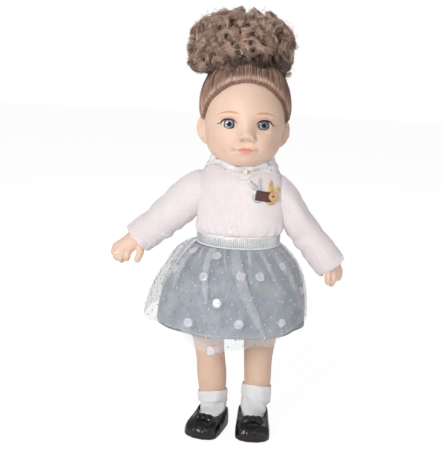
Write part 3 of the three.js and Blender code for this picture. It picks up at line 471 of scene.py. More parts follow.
def two_tone(name, base, roughness, dark, light, size_mm, detail=2, bump_mm=0.0, ease=None, stretch=(1, 1, 1),
             **sockets):
    """A finish that wavers between two colours, raised where it is light."""
    finish, tree, shader = new_finish(name, base, roughness, **sockets)
    tone = noise(tree, size_mm, detail, stretch=stretch)
    if ease:
        tone = tone.ramp(*ease)
    colour_into(tree, shader, blend_colour(tree, tone, dark, light))
    if bump_mm:
        bump_into(tree, shader, tone * bump_mm)
    return finish


# %% [markdown]
# The head and limbs are soft vinyl: an even, matt peach plastic with a faint cloudiness from the mould and
# a very fine grain. Light goes a little way into it, so a touch of subsurface scattering softens the
# shadows. The legs get a darker copy of it, painted shade for the skirt's shadow over them.

# %% Vinyl
SKIN = srgb(236, 204, 184)
SKIN_WARM = srgb(230, 194, 171)
SKIN_ROUGH, LIP_ROUGH = 0.46, 0.34


def vinyl_base(name, skin=SKIN, warm=SKIN_WARM):
    finish, tree, shader = new_finish(name, skin, SKIN_ROUGH, Specular_IOR_Level=0.38,
                                      Subsurface_Weight=0.12, Subsurface_Scale=0.004)
    cloud = noise(tree, 14, 3).ramp(0.3, 0.75)
    colour = blend_colour(tree, cloud * 0.55, skin, warm)
    colour_into(tree, shader, colour)
    bump_into(tree, shader, noise(tree, 0.7, 2) * 0.05)
    return finish, tree, shader, colour


vinyl = vinyl_base("vinyl_skin")[0]
# A darker copy of the vinyl for the legs: painted shade, not a different plastic.
shaded_leg_vinyl = vinyl_base("shaded_leg_vinyl", srgb(226, 193, 171), srgb(219, 183, 159))[0]
print("finishes", vinyl.name, shaded_leg_vinyl.name)

# %% [markdown]
# The head is a rounded egg with full cheeks, tipped back a little so that the doll looks up at whoever
# holds it. Nose, lips, lids and chin are soft rises on one smooth skin. Sculpting would do it by hand; here
# each rise is a bell-shaped bump of a known height, so a feature can be moved by a number.

# %% Head form
HEAD_AT = np.array([0.0, 1.0, neck_z + 61.0])
HEAD_TIP = math.radians(7)
HEAD_TURN = math.radians(2.5)
HEAD_HALF = (43.0, 50.0, 54.5)
HEAD_LOW = 58.2
EYE = (18.0, -10.4)
EYE_HALF_WIDTH, EYE_UP, EYE_DOWN = 7.8, 4.7, 5.0
MOUTH_Z = -36.7
MOUTH_BEND = 0.006
NOSE_Z = -22.5
EYE_PLANE, EYE_HOLE = -42.0, -33.5
FACE_FRONT = -20.0

# Each rise: height, distance from the middle line, half-width, level and half-height.
FACE_RISES = [
    (1.8, 0, 5.0, -12, 7),  # bridge of the nose
    (4.4, 6.5, 2.1, -24.0, 2.6),  # its wings
    (-1.5, 10.0, 1.2, -24.0, 3.2),  # grooves beside them
    (-0.9, 4.1, 1.5, -27.3, 0.9),  # nostrils
    (-3.0, 18, 8.5, -9, 6.5),  # eye sockets
    (3.5, 22, 9.5, -30, 8.5),  # cheeks
    (2.4, 0, 7.6, MOUTH_Z + 1.7, 1.6),  # upper lip
    (2.6, 0, 6.6, MOUTH_Z - 2.5, 1.9),  # lower lip
    (-1.7, 11.8, 2.3, MOUTH_Z + 0.8, 2.6),  # corners of the mouth
    (-1.2, 0, 7.0, MOUTH_Z - 6.6, 2.0),  # hollow under the lip
    (-0.7, 0, 1.6, -31.3, 2.2),  # groove under the nose
    (4.0, 0, 11, -48, 6),  # chin
]


def on_head(points):
    """From the head's own millimetres to the doll's: a hint of a turn, then the tip backwards."""
    points = np.asarray(points, float)
    c, s = math.cos(HEAD_TURN), math.sin(HEAD_TURN)
    x, y = points[..., 0] * c - points[..., 1] * s, points[..., 0] * s + points[..., 1] * c
    z = points[..., 2]
    c, s = math.cos(HEAD_TIP), math.sin(HEAD_TIP)
    return np.stack([x, y * c + z * s, -y * s + z * c], -1) + HEAD_AT


def jaw(z):
    """The cheeks are fuller than an egg's lower half."""
    return 1 + 0.12 * smooth((-18 - z) / 24)


def face_rise(x, z):
    """How far the face stands out of the egg, in millimetres."""
    a = np.abs(x)
    rise = 8.4 * bump(x / 5.4) * bump((z - NOSE_Z) / np.where(z > NOSE_Z, 5.4, 2.3))
    rise -= 1.5 * bump(x / 7.5) * bump((z - MOUTH_Z - MOUTH_BEND * x * x) / 0.7)
    for high, out, wide, level, tall in FACE_RISES:
        rise += high * bump((a - out) / wide) * bump((z - level) / tall)
    return rise


def eye_shape(x, z):
    """Positive inside the eye's opening, which is longer towards the outer corner."""
    across = (np.abs(x) - EYE[0]) / EYE_HALF_WIDTH
    up = z - EYE[1] - 0.5 * across
    tall = np.where(up > 0, EYE_UP, EYE_DOWN) * (1 - 0.12 * np.abs(across) ** 3)
    return 1 - across**2 - (up / tall) ** 2


def face_y(x, z, open_eyes=False):
    """The depth of the face's skin at a place seen from the front."""
    half_z = np.where(z > 0, HEAD_HALF[2], HEAD_LOW)
    level = np.maximum(1 - (z / half_z) ** 2 - (x / (HEAD_HALF[0] * jaw(z))) ** 2, 0)
    y = -HEAD_HALF[1] * np.sqrt(level) * (1 + 0.05 * smooth((-18 - z) / 24))
    y = y - np.clip(-y / 30, 0, 1) * face_rise(x, z)
    a = np.abs(x)
    flat = EYE_PLANE + 0.27 * (a - EYE[0])
    near = np.exp(-((a - EYE[0]) / 9.5) ** 4 - ((z - EYE[1]) / 7.8) ** 4) * (y < FACE_FRONT)
    y = y + near * (flat - y)
    y = y - 0.9 * bump((a - EYE[0]) / 6.5) * bump((z - EYE[1] - 6.6) / 1.3) * (y < FACE_FRONT)
    if open_eyes:
        y = y + smooth(eye_shape(x, z) / 0.16 + 0.4) * (EYE_HOLE - y) * (y < FACE_FRONT)
    return y


def head_skin(rows=190, count=232):
    polar = np.linspace(0.02, np.pi - 0.02, rows)[:, None]
    turn = (around(count) - np.pi)[None, :]
    facing = turn - 0.45 * np.sin(turn)
    z = np.where(polar < np.pi / 2, HEAD_HALF[2], HEAD_LOW) * np.cos(polar) + 0 * turn
    x = HEAD_HALF[0] * np.sin(polar) * np.sin(facing) * jaw(z)
    back = -HEAD_HALF[1] * np.sin(polar) * np.cos(facing)
    y = np.where(back < 0, face_y(x, z, True), back)
    return np.stack([x, y, z], -1)


skin = head_skin()
rows, count = skin.shape[:2]
faces = grid_faces(rows, count)
flat_points = skin.reshape(-1, 3)
paint_uv = flat_points[:, [0, 2]][faces]
paint_uv[flat_points[faces][:, :, 1].mean(1) > -8] += [500, 0]
ends = np.zeros((2 * count, 2)) + 500
head = new_piece("head", on_head(flat_points), faces.tolist() + cap_faces(rows, count),
                 np.concatenate([paint_uv.reshape(-1, 2), ends]))

# %% [markdown]
# The face is sprayed and printed at the factory: coral lips, thin light-brown brows, a warm shadow above
# the eyes, a blush on the cheeks. A painted picture could carry it, but each mark is a short formula in the
# face's own millimetres, so it stays sharp at any size.

# %% Painted face
painted, tree, shader, colour = vinyl_base("painted_face")
u, v = uv_mm(tree)
a = u.math("ABSOLUTE")


def spot(cx, cz, rx, rz):
    """Round soft spot of spray or painted shade, 1 in its middle; cx counts from the face's middle line."""
    dx = (a - cx) / rx
    dz = (v - cz) / rz
    return (dx * dx + dz * dz).ramp(1.0, 0.0)


# Each spot: distance from the middle line, level, half-width, half-height, share and colour.
SPRAYS_AND_SHADE = [
    (26, -32, 14, 11, 0.16, srgb(240, 168, 158)),  # cheeks
    (19.5, -4.6, 11, 4.2, 0.34, srgb(222, 150, 132)),  # above the eyes
    # Painted shade: darker spots in the nostrils and in the dents at the mouth's corners.
    (4.1, -27.0, 2.4, 1.3, 0.5, srgb(170, 108, 84)),  # nostrils
    (11.8, MOUTH_Z + 0.2, 4.4, 3.0, 0.42, srgb(196, 140, 112)),  # corners of the mouth
]
for *place, share, tint in SPRAYS_AND_SHADE:
    colour = blend_colour(tree, spot(*place) * share, colour, tint)

outer_bend = (a - 20.0).math("MAXIMUM", 0.0)
brow_line = v - (1.9 - 0.0125 * (a - 18.0) * (a - 18.0) - 0.011 * outer_bend * outer_bend)
brow_wide = a.ramp(6.8, 12.0) * a.ramp(32.0, 20.0) * 1.05 + 0.25
hairs = noise(tree, 1.1, 3, "UV", (1, 0.3, 1)).ramp(0.2, 0.6)
brow = (brow_line.math("ABSOLUTE") / brow_wide).ramp(1.25, 0.35) * a.ramp(6.8, 9.4) * a.ramp(32.0, 28.5)
brow_colour = blend_colour(tree, a.ramp(8.5, 15.0), srgb(230, 160, 140), srgb(206, 142, 88))
colour = blend_colour(tree, brow * (hairs * 0.3 + 0.5), colour, brow_colour)

crease = v - (EYE[1] + 7.4 - 0.05 * (a - 18) * (a - 18))
crease_mark = (crease.math("ABSOLUTE") / 0.75).ramp(1.2, 0.1) * a.ramp(9.5, 13.0) * a.ramp(27.5, 23.0)
colour = blend_colour(tree, crease_mark * 0.6, colour, srgb(208, 136, 104))

mouth_curve = MOUTH_Z + MOUTH_BEND * u * u
bow = (a - 2.8) * (a - 2.8) * -0.05 + 2.9
top_edge = mouth_curve + bow * a.ramp(10.0, 3.6)
low_edge = mouth_curve - (3.9 - 0.047 * u * u)
lips = (v - top_edge).ramp(0.45, -0.45) * (v - low_edge).ramp(-0.5, 0.5) * a.ramp(9.8, 8.2)
colour = blend_colour(tree, lips * 0.85, colour, srgb(231, 154, 143))
upper = lips * (v - mouth_curve).ramp(-0.2, 0.6)
colour = blend_colour(tree, upper * 0.4, colour, srgb(216, 122, 114))
seam = ((v - mouth_curve).math("ABSOLUTE") / 0.6).ramp(1.0, 0.1) * a.ramp(9.8, 7.6)
colour = blend_colour(tree, seam * 0.5, colour, srgb(186, 92, 90))
colour_into(tree, shader, colour)
gloss = tree.nodes.new("ShaderNodeMapRange")
gloss.inputs["To Min"].default_value = SKIN_ROUGH
gloss.inputs["To Max"].default_value = LIP_ROUGH
tree.links.new(lips.socket, gloss.inputs["Value"])
tree.links.new(gloss.outputs[0], shader.inputs["Roughness"])
dress(head, painted, "head", "vinyl", "head_shell")

# %% [markdown]
# The neck is a plain drum that the cloth body is tied round; the collar and sweater hide all but a sliver
# of it. The ears are moulded with the head: an oval with a rolled rim and a hollow. They are turned from a
# ball whose outer face is pressed in, which keeps the rim round.

# %% Neck and ears
NECK_HALF = 15.5
neck_line = [(neck_z - 9, NECK_HALF - 1.5), (neck_z - 6, NECK_HALF), (neck_z - 1, NECK_HALF - 1.2),
             (neck_z + 4, NECK_HALF + 0.2), (neck_z + 12, NECK_HALF + 4), (neck_z + 22, NECK_HALF + 8)]
line = spline(neck_line, 30)
c, s = ring(64)
neck_rows = oval_rows(line[:, 1:2], line[:, 1:2], line[:, 0:1], c, s)
dress(grid_piece("neck", neck_rows, caps=True), vinyl, "head", "vinyl")


EAR_OUT, EAR_DEEP, EAR_TALL = 4.4, 7.6, 14.4


def ear_rows(side):
    lens, y, z = np.moveaxis(ball_grid(56, 72, 0.03)[2] * [1, EAR_DEEP, EAR_TALL], -1, 0)
    y = y * (1 + 0.18 * (z / EAR_TALL))
    edge = np.sqrt((y / EAR_DEEP) ** 2 + (z / EAR_TALL) ** 2)
    x = EAR_OUT * lens
    outer = smooth(lens / 0.25)
    hollow = 5.6 * bump((y + 1.2) / 2.8) * bump((z + 1.5) / 5.6)
    groove = 2.2 * bump((edge - 0.66) / 0.12) * (z > -8) - 1.2 * bump((edge - 0.44) / 0.1) * (y > 0)
    rim = 1.2 * bump((edge - 0.88) / 0.1)
    x = x - outer * (hollow + groove) + outer * rim
    out = 41.2 + 0.9 * x + 0.42 * (y + EAR_DEEP) - 0.36 * np.maximum(-z - 2, 0) - 0.3 * np.maximum(-z - 7, 0)
    return on_head(np.stack([side * out, y + 4 + 0.12 * z, z - 18.8], -1))


for side, word in SIDES:
    dress(grid_piece("ear_" + word, ear_rows(side), caps=True), vinyl, "head", "vinyl")

# %% [markdown]
# Each eye is set from inside: a white half-ball, a printed iris disc and a clear dome over it. The eye's
# opening faces a little outward, as the face curves, so ball, disc and dome share one axis square to that
# opening. A glass shader would darken the disc, so the dome is clear film with a mirror coat that grows at
# its edge.

# %% Eyes
BALL = 13.0
IRIS = 5.8
EYE_SIDES = 48
eye_white, tree, shader = new_finish("eye_white", srgb(240, 236, 232), 0.25)
veins = noise(tree, 3, 3).ramp(0.5, 0.85)
colour_into(tree, shader, blend_colour(tree, veins * 0.3, srgb(241, 238, 235), srgb(222, 206, 200)))

iris_print, tree, shader = new_finish("iris_print", srgb(130, 133, 140), 0.5, Specular_IOR_Level=0.1)
u, v = uv_mm(tree)
radius = (u * u + v * v).math("SQRT")
fibre_turn = v.math("ARCTAN2", u) * 9.0
fibre_place = tree.nodes.new("ShaderNodeCombineXYZ")
tree.links.new(fibre_turn.socket, fibre_place.inputs[0])
tree.links.new((radius * 0.35).socket, fibre_place.inputs[1])
fibres = tree.nodes.new("ShaderNodeTexNoise")
fibres.inputs["Scale"].default_value = 1.6
tree.links.new(fibre_place.outputs[0], fibres.inputs["Vector"])
fibre = Wire(tree, fibres.outputs["Fac"]).ramp(0.3, 0.7)
colour = blend_colour(tree, fibre, srgb(160, 166, 178), srgb(234, 238, 245))
colour = blend_colour(tree, radius.ramp(4.1, 5.0) * 0.9, colour, srgb(58, 60, 68))
colour = blend_colour(tree, radius.ramp(2.7, 2.2), colour, srgb(16, 15, 18))
colour_into(tree, shader, colour)

clear_dome = bpy.data.materials.new("clear_dome")
clear_dome.use_nodes = True
tree = clear_dome.node_tree
tree.nodes.clear()
film = tree.nodes.new("ShaderNodeBsdfTransparent")
mirror = tree.nodes.new("ShaderNodeBsdfGlossy")
mirror.inputs["Roughness"].default_value = 0.04
edge = tree.nodes.new("ShaderNodeFresnel")
edge.inputs["IOR"].default_value = 1.7
mix_shaders(tree, edge, film, mirror, tree.nodes.new("ShaderNodeOutputMaterial").inputs["Surface"])

lash_ink = two_tone("lash_ink", srgb(52, 38, 42), 0.5, srgb(40, 29, 33), srgb(72, 52, 54), 2)

# %% [markdown]
# Ball, disc and dome are rings round the eye's own axis. The disc's texture coordinates are set to
# millimetres from its middle, because that is what the printed iris counts in.

# %% Eye pieces
def eye_axes(side):
    look = np.array([side * 0.1, -0.995, 0.0])
    across = np.array([0.995, side * 0.1, 0.0])
    at = np.array([side * EYE[0], EYE_PLANE, EYE[1]]) - look * (BALL + 0.2)
    return at, look, across, np.array([0.0, 0.0, 1.0])


def turned(side, out, wide):
    """Rings round the eye's axis: how far out along it, and how wide."""
    at, look, across, up = eye_axes(side)
    c, s = ring(EYE_SIDES)
    out, wide = np.asarray(out)[:, None, None], np.asarray(wide)[:, None, None]
    return on_head(at + out * look + wide * (c[:, None] * across + s[:, None] * up))


disc_at = math.sqrt(BALL**2 - IRIS**2)
for side, word in SIDES:
    polar = np.linspace(0.9, 0.05, 30)
    out = np.minimum(BALL * np.cos(polar), disc_at - 0.1)
    ball = grid_piece("eye_ball_round_" + word, turned(side, out, BALL * np.sin(polar)), caps=True)
    dress(ball, eye_white, "head", "eye_white", "eye_ball_" + word)
    wide = np.linspace(IRIS, 0.05, 14)
    disc = grid_piece("eye_print_" + word, turned(side, disc_at + 0 * wide, wide), outward=False)
    c, s = ring(EYE_SIDES)
    place = np.stack([wide[:, None] * c, wide[:, None] * s], -1).reshape(-1, 2)
    disc.data.uv_layers[0].data.foreach_set(
        "uv", place[[loop.vertex_index for loop in disc.data.loops]].astype(np.float32).ravel())
    dress(disc, iris_print, "head", "iris", "eye_iris_" + word)
    polar = np.linspace(math.asin(IRIS / BALL), 0.03, 16)
    dome_rows = turned(side, BALL * np.cos(polar), BALL * np.sin(polar))
    dome = grid_piece("eye_dome_" + word, dome_rows, outward=False)
    dress(dome, clear_dome, "head", "lens", "eye_lens_" + word)

# %% [markdown]
# The lid's edge is a soft rim all round the opening, and a dark lash line lies on the upper one with a
# small wing at the outer corner. Both are thin tubes laid on the face's own surface, so they follow its
# curve.

# %% Lids and lashes
LID_THICK = 0.62


def eye_edge(t, grow=0.0):
    """Points round the opening: 0 is the outer corner, half a turn the inner one."""
    across = np.cos(t)
    tall = np.where(np.sin(t) > 0, EYE_UP, EYE_DOWN) * (1 - 0.12 * np.abs(across) ** 3)
    x = EYE[0] + (EYE_HALF_WIDTH + grow) * across
    return x, EYE[1] + 0.5 * across + (tall + grow) * np.sin(t)


for side, word in SIDES:
    t = np.linspace(0, 2 * np.pi, 72)
    x, z = eye_edge(t, 0.25)
    rim = np.stack([side * x, face_y(x, z) + 0.1, z], -1)
    dress(many_tubes("eye_rim_" + word, [on_head(rim)], LID_THICK, 8), vinyl, "head", "vinyl")
    t = np.linspace(np.pi * 0.96, 0.06, 44)
    x, z = eye_edge(t, 0.45)
    wing = np.linspace(0.2, 1, 7)
    x = np.concatenate([x, x[-1] + 3.8 * wing])
    z = np.concatenate([z, z[-1] - 0.9 * wing])
    share = np.linspace(0, 1, len(x))
    lash = np.stack([side * x, face_y(x, z) - 0.5, z], -1)
    thick = 0.2 + 0.62 * smooth(share / 0.35) * smooth((1 - share) / 0.25)
    dress(many_tubes("lash_line_" + word, [on_head(lash)], thick, 8), lash_ink, "head", "vinyl")

# %% [markdown]
# The hair is rooted along the hairline and combed straight up to a tie on the crown. A particle system
# could grow it, but combed hair reads as one grooved shell with a rolled edge, and the shell exports as it
# is. Along the strands its colour is darkened as painted shade: along the rolled edge at the hairline, and
# near the tie as the puff's shadow; between them the strands keep their own lighter colour.

# %% Combed hair
def hair_finish(name, dark, light, strand_mm):
    finish, tree, shader = new_finish(name, light, 0.38, Specular_IOR_Level=0.5, Sheen_Weight=0.1)
    streak = noise(tree, strand_mm, 3, "UV", (1, 0.035, 1)).ramp(0.28, 0.72)
    patch = noise(tree, 11, 2).ramp(0.3, 0.7)
    colour = blend_colour(tree, streak * 0.7 + patch * 0.3, dark, light)
    colour_into(tree, shader, colour)
    bump_into(tree, shader, streak * 0.25)
    return finish, tree, shader, colour


combed, tree, shader, colour = hair_finish("combed_hair", srgb(180, 136, 116), srgb(255, 222, 200), 0.8)
v = uv_mm(tree)[1]
# Painted shadow of the puff: the strands darken towards the tie, to near black under the puff.
under_puff_shade = object_mm(tree)[2].ramp(362.0, 386.0)
colour = blend_colour(tree, v.ramp(9.0, 18.0) * under_puff_shade * 0.82, colour, srgb(84, 61, 51))
colour = blend_colour(tree, v.ramp(15.0, 27.0) * under_puff_shade * 0.9, colour, srgb(38, 28, 24))
# Painted shade along the rolled edge: the strands darken just above the hairline.
colour = blend_colour(tree, v.ramp(7.6, 5.4) * 0.85, colour, srgb(92, 61, 47))
colour_into(tree, shader, colour)

# %% [markdown]
# The hairline is a table of heights round the head, low at the nape and dipping in front of the ears. From
# there the shell runs up to the crown: its edge rolls up out of the skin, and fine waves make its grooves.

# %% Hairline and combed shell
HAIR_THICK = 5.0
SCALP_MM = 50  # of scalp for each radian
line_turn = [0, 10, 28, 41.5, 55.3, 62, 68, 74, 80, 86, 93, 100, 106, 110, 116, 128, 150, 180]
line_z = [32.2, 31.6, 28.8, 23, 15.5, 11, 4.5, -3, -6.5, -4.5, -0.5, -0.5, -4, -14, -24, -30, -33.5, -34.5]


def hairline(turn):
    height = np.interp(np.degrees(np.abs(turn)), line_turn, line_z)
    for _ in range(3):
        height = (np.roll(height, 1) + height + np.roll(height, -1)) / 3
    return height


def egg(turn, polar):
    z = HEAD_HALF[2] * np.cos(polar)
    return np.stack([HEAD_HALF[0] * np.sin(polar) * np.sin(turn) * jaw(z),
                     -HEAD_HALF[1] * np.sin(polar) * np.cos(turn), z + 0 * turn], -1)


def off_skin(points, lift):
    """Moves points of the egg straight out of its skin."""
    return on_head(points + unit(points / np.square(HEAD_HALF)) * lift[..., None])


def fullness(points):
    """The swept-up hair stands further off the head towards the crown."""
    return HAIR_THICK + 5.0 * np.clip(points[..., 2] / 40, 0, 1.1) ** 1.6


def edge_reach(turn, least):
    """How far in from the hairline the edge rolls; further beside the ears."""
    return least + 10 * bump((np.degrees(np.abs(turn)) - 86) / 20)


def rolled(share):
    """A quarter circle: 0 at the edge, 1 from a share of 1 on."""
    return np.sqrt(1 - (1 - np.clip(share, 0, 1)) ** 2)


def combed_rows(rows=70, count=440):
    rng = np.random.default_rng(4)
    turn = around(count) - np.pi
    low = np.arccos(hairline(turn) / HEAD_HALF[2])
    share = np.linspace(0, 1, rows)[:, None] ** 1.5
    polar = low + (0.1 - low) * share
    away = (low - polar) * SCALP_MM
    points = egg(np.broadcast_to(turn, polar.shape), polar)
    edge = rolled(away / edge_reach(turn, 5))
    thick = HAIR_THICK * edge + (fullness(points) - HAIR_THICK) * smooth(away / 16) - 0.9 * (away < 0.01)
    groove = 0
    for _ in range(26):
        waves = rng.integers(36, 200)
        groove = groove + np.cos(waves * turn + rng.uniform(0, 6.3) + rng.uniform(-4, 4) * share)
    return off_skin(points, thick + 0.12 * groove * smooth(away / 3) + 0.8 * bump((away - 3.2) / 1.8))


dress(grid_piece("combed_hair", combed_rows(), outward=False), combed, "head", "hair", "hair_cap")

# %% [markdown]
# A rolled edge alone would look like a cap. So single strands start on the skin just outside the hairline
# and run up over the edge, each with its own length and sway.

# %% Edge hairs
def edge_hairs(number=420):
    """Single strands that start on the skin and run up over the rolled edge."""
    rng = np.random.default_rng(9)
    turn = rng.uniform(-1.9, 1.9, number)
    fine = np.linspace(-np.pi, np.pi, 721)
    low = np.interp(turn, fine, np.arccos(hairline(fine) / HEAD_HALF[2]))
    step = np.linspace(-0.02, 0.5, 16)[None, :] * rng.uniform(0.6, 1.2, (number, 1))
    polar = low[:, None] - step
    sway = turn[:, None] + rng.uniform(-0.04, 0.04, (number, 1)) * step / 0.4
    points = egg(sway, polar)
    away = step * SCALP_MM
    lift = (HAIR_THICK + 0.8) * rolled((away + 1.0) / edge_reach(turn, 6)[:, None])
    lift = lift + (fullness(points) - HAIR_THICK) * smooth(away / 16)
    paths = off_skin(points, lift + rng.uniform(0, 0.5, (number, 1)))
    return paths, 0.16 * np.linspace(0.6, 1, 16)


strand_hair = hair_finish("strand_hair", srgb(158, 114, 94), srgb(246, 202, 178), 0.3)[0]
paths, radii = edge_hairs()
dress(many_tubes("edge_hairs", paths, radii), strand_hair, "head", "hair")

# %% [markdown]
# The puff is a cloud of loose ringlets, each a flat lock of many strands rolled round a finger. A core
# fills the middle so that no light shows through. The locks are coils set all over an egg-shaped cloud, at
# seeded random tilts, each a ribbon of separate strands, which catches light as real curls do.

# %% Ringlets
PUFF_AT = np.array([-5.4, 6.0, 71.0])
PUFF_HALF = np.array([55.5, 49.5, 36.0])
STRAY_THICK = 0.15
ringlet_hair, tree, shader, colour = hair_finish("ringlet_hair", srgb(164, 118, 96), srgb(255, 226, 204), 1.3)
lock = noise(tree, 5.5, 2).ramp(0.42, 0.66)
colour = blend_colour(tree, lock * 0.55, colour, srgb(84, 57, 45))
# Painted shade: the lower middle of the puff darkens to near black, as the shadow where it overhangs the
# combed hair.
across, _, up = object_mm(tree)
puff_underside_shade = up.ramp(423.0, 406.0) * (across - (middle[0] + 8)).math("ABSOLUTE").ramp(44.0, 16.0)
colour_into(tree, shader, blend_colour(tree, puff_underside_shade * 0.85, colour, srgb(52, 37, 31)))
shader.inputs["Roughness"].default_value = 0.32
# The core's dark browns are painted shade for the gaps between the locks.
shade_core_hair = hair_finish("shade_core_hair", srgb(66, 46, 38), srgb(112, 80, 66), 1.2)[0]


def cloud(number, low=-0.62):
    """Even directions over a ball, without its underside."""
    i = np.arange(number) + 0.5
    height = 1 - (1 - low) * i / number
    turn = i * np.pi * (3 - math.sqrt(5))
    flat = np.sqrt(1 - height**2)
    return np.stack([flat * np.cos(turn), flat * np.sin(turn), height], -1)


def drooping(points):
    """The puff is fuller than an egg towards its upper and lower edges, and its sides hang a little."""
    way = (np.array(points, float) - PUFF_AT) / PUFF_HALF
    size = np.linalg.norm(way, axis=-1, keepdims=True)
    toward = way / np.maximum(size, 1e-6)
    level = np.sqrt(toward[..., :1] ** 2 + toward[..., 1:2] ** 2)
    points = PUFF_AT + way * PUFF_HALF * (1 + 0.45 * (level * toward[..., 2:]) ** 2)
    points[..., 2] -= 4 * smooth((np.abs(points[..., 0] - PUFF_AT[0]) - 24) / 36)
    return points

# %% [markdown]
# The puff mixes three curls: open rings, rosettes that wind inward and hanging ringlets. Each lock draws
# its kind, size and tilt from a seeded generator, so every run gives the same puff.

# %% Locks
def one_lock(rng, way, strands, points):
    """Strands of one curl: a ring, a rosette that winds inward, or a hanging ringlet."""
    normal = unit(way / PUFF_HALF)
    tangent = unit(np.cross(normal, rng.normal(size=3)))
    kind = rng.choice(["ring", "rosette", "ringlet"], p=[0.1, 0.5, 0.4])
    if kind == "ringlet":
        axis = tangent + normal * rng.uniform(-0.1, 0.3) + np.array([0, 0, -0.9 * (1 - way[2])])
        coil, turns, pitch = rng.uniform(5.2, 7.4), rng.uniform(1.5, 2.3), rng.uniform(6.5, 9.0)
    else:
        axis = normal + tangent * rng.uniform(0.2, 0.9)
        coil, turns, pitch = rng.uniform(7.5, 12.0), rng.uniform(1.1, 1.8), rng.uniform(1.0, 4.0)
    axis = unit(axis)
    one = unit(np.cross(axis, np.roll(normal, 1)))
    two = np.cross(axis, one)
    sunk = coil if kind == "ringlet" else coil * 0.35
    start_at = PUFF_AT + way * (PUFF_HALF * rng.uniform(0.92, 1.04)) - normal * sunk
    inward = rng.uniform(0.6, 0.85) if kind == "rosette" else 0.12
    t = np.linspace(0, 1, points)
    start, hand = rng.uniform(0, 6.3), rng.choice([-1, 1])
    loose, wide = (1.7, 5.4) if kind == "rosette" else (1.0, 7.0)
    swell = np.sin(np.pi * t)
    paths = []
    for k in range(strands):
        across = rng.uniform(-0.5, 0.5) * wide
        size = (coil + rng.normal() * loose) * (1 - inward * t) * (0.82 + 0.18 * swell)
        angle = start + hand * 2 * np.pi * turns * t * rng.uniform(0.92, 1.08)
        angle = angle + rng.normal() * 0.22 + 0.16 * np.sin(5 * t + k)
        along = (t - 0.5) * turns * pitch + across * (0.45 + 0.55 * swell)
        coiled = np.cos(angle)[:, None] * one + np.sin(angle)[:, None] * two
        paths.append(start_at + rng.normal(size=3) * 0.25 + size[:, None] * coiled + along[:, None] * axis)
    return paths


def ringlets(front, number=150, strands=30, points=24):
    """Half of the curls, those in front of the puff's middle or those behind it."""
    rng = np.random.default_rng(21 if front else 22)
    paths = []
    for way in cloud(number):
        if (way[1] < 0) == front:
            paths += one_lock(rng, way, strands, points)
    t = np.linspace(0, 1, points)
    thick = 0.25 * np.sin(np.pi * np.clip(t * 0.94 + 0.03, 0, 1)) ** 0.4
    return drooping(paths), thick


for word, front in (("front", True), ("back", False)):
    paths, radii = ringlets(front)
    locks = many_tubes("ringlets_" + word, on_head(paths), radii)
    dress(locks, ringlet_hair, "head", "hair", *(["hair_puff"] if front else []))

# %% [markdown]
# Fine stray hairs stand out of the cloud and soften its outline. The core is a slightly rough ball inside
# the locks, dark brown as painted shade in the gaps between them.

# %% Stray hairs and core
def stray_hairs(number=150, points=22):
    rng = np.random.default_rng(33)
    paths = []
    for way in cloud(number, -0.4):
        t = np.linspace(0, 1, points)[:, None]
        side = unit(np.cross(way, rng.normal(size=3)))
        curl = rng.uniform(2.5, 6)
        turn = t * rng.uniform(3, 8) + rng.uniform(0, 6)
        start = PUFF_AT + way * PUFF_HALF * 0.92
        paths.append(start + way * (2 + 4.5 * np.sin(2.4 * t)) + side * t * rng.uniform(4, 14)
                     + curl * 0.5 * (np.cos(turn) * side + np.sin(turn) * way))
    return drooping(paths)


dress(many_tubes("stray_hairs", on_head(stray_hairs()), STRAY_THICK), ringlet_hair, "head", "hair")

polar, turn, core = ball_grid(60, 110, 0.04)
rough = 1 + 0.05 * np.cos(9 * turn + 4 * polar) * np.cos(8 * polar) + 0.03 * np.cos(17 * turn - 11 * polar)
core = drooping(PUFF_AT + core * rough[..., None] * PUFF_HALF * 0.88)
dress(grid_piece("puff_core", on_head(core), caps=True), shade_core_hair, "head", "hair")

# %% [markdown]
# Arms and hands are one vinyl casting. The hand is a mitten of a palm with four short curled fingers and a
# thumb, all melting into each other. Separate rods would show their joints, so rods and arm are joined with
# a voxel remesh and smoothed, which gives the soft webs between the fingers.

# %% Arms and hands
UPPER_ARM = 42.0
HAND_VOXEL, LEG_VOXEL = 0.75, 1.3
ELBOW_BEND = 4.0
LIFT = {"left": 34.0, "right": 47.0}
SHOULDER_AT = np.array([armhole_x + 5.0, 0.0, shoulder_z])


def hanging(degrees):
    a = math.radians(degrees)
    return np.array([math.sin(a), 0.0, -math.cos(a)])


def arm_point(lift, distance):
    above = min(distance, UPPER_ARM)
    return SHOULDER_AT + hanging(lift - ELBOW_BEND) * above + hanging(lift + ELBOW_BEND) * (distance - above)


def melted(name, bodies, voxel_mm, rounds):
    """Joins closed row-grids into one skin, remeshes and smooths it."""
    points, faces, start = [], [], 0
    for rows in bodies:
        height, count = rows.shape[:2]
        faces += grid_faces(height, count, start).tolist() + cap_faces(height, count, start)
        points.append(rows.reshape(-1, 3))
        start += height * count
    rough = new_piece(name + "_rough", np.concatenate(points), faces)
    remesh = rough.modifiers.new("remesh", "REMESH")
    remesh.mode = "VOXEL"
    remesh.voxel_size = voxel_mm * MM
    soften = rough.modifiers.new("soften", "SMOOTH")
    soften.factor = 0.5
    soften.iterations = rounds
    seen = rough.evaluated_get(bpy.context.evaluated_depsgraph_get())
    mesh = bpy.data.meshes.new_from_object(seen)
    bpy.data.objects.remove(rough)
    mesh.name = name
    return smooth_piece(name, mesh)


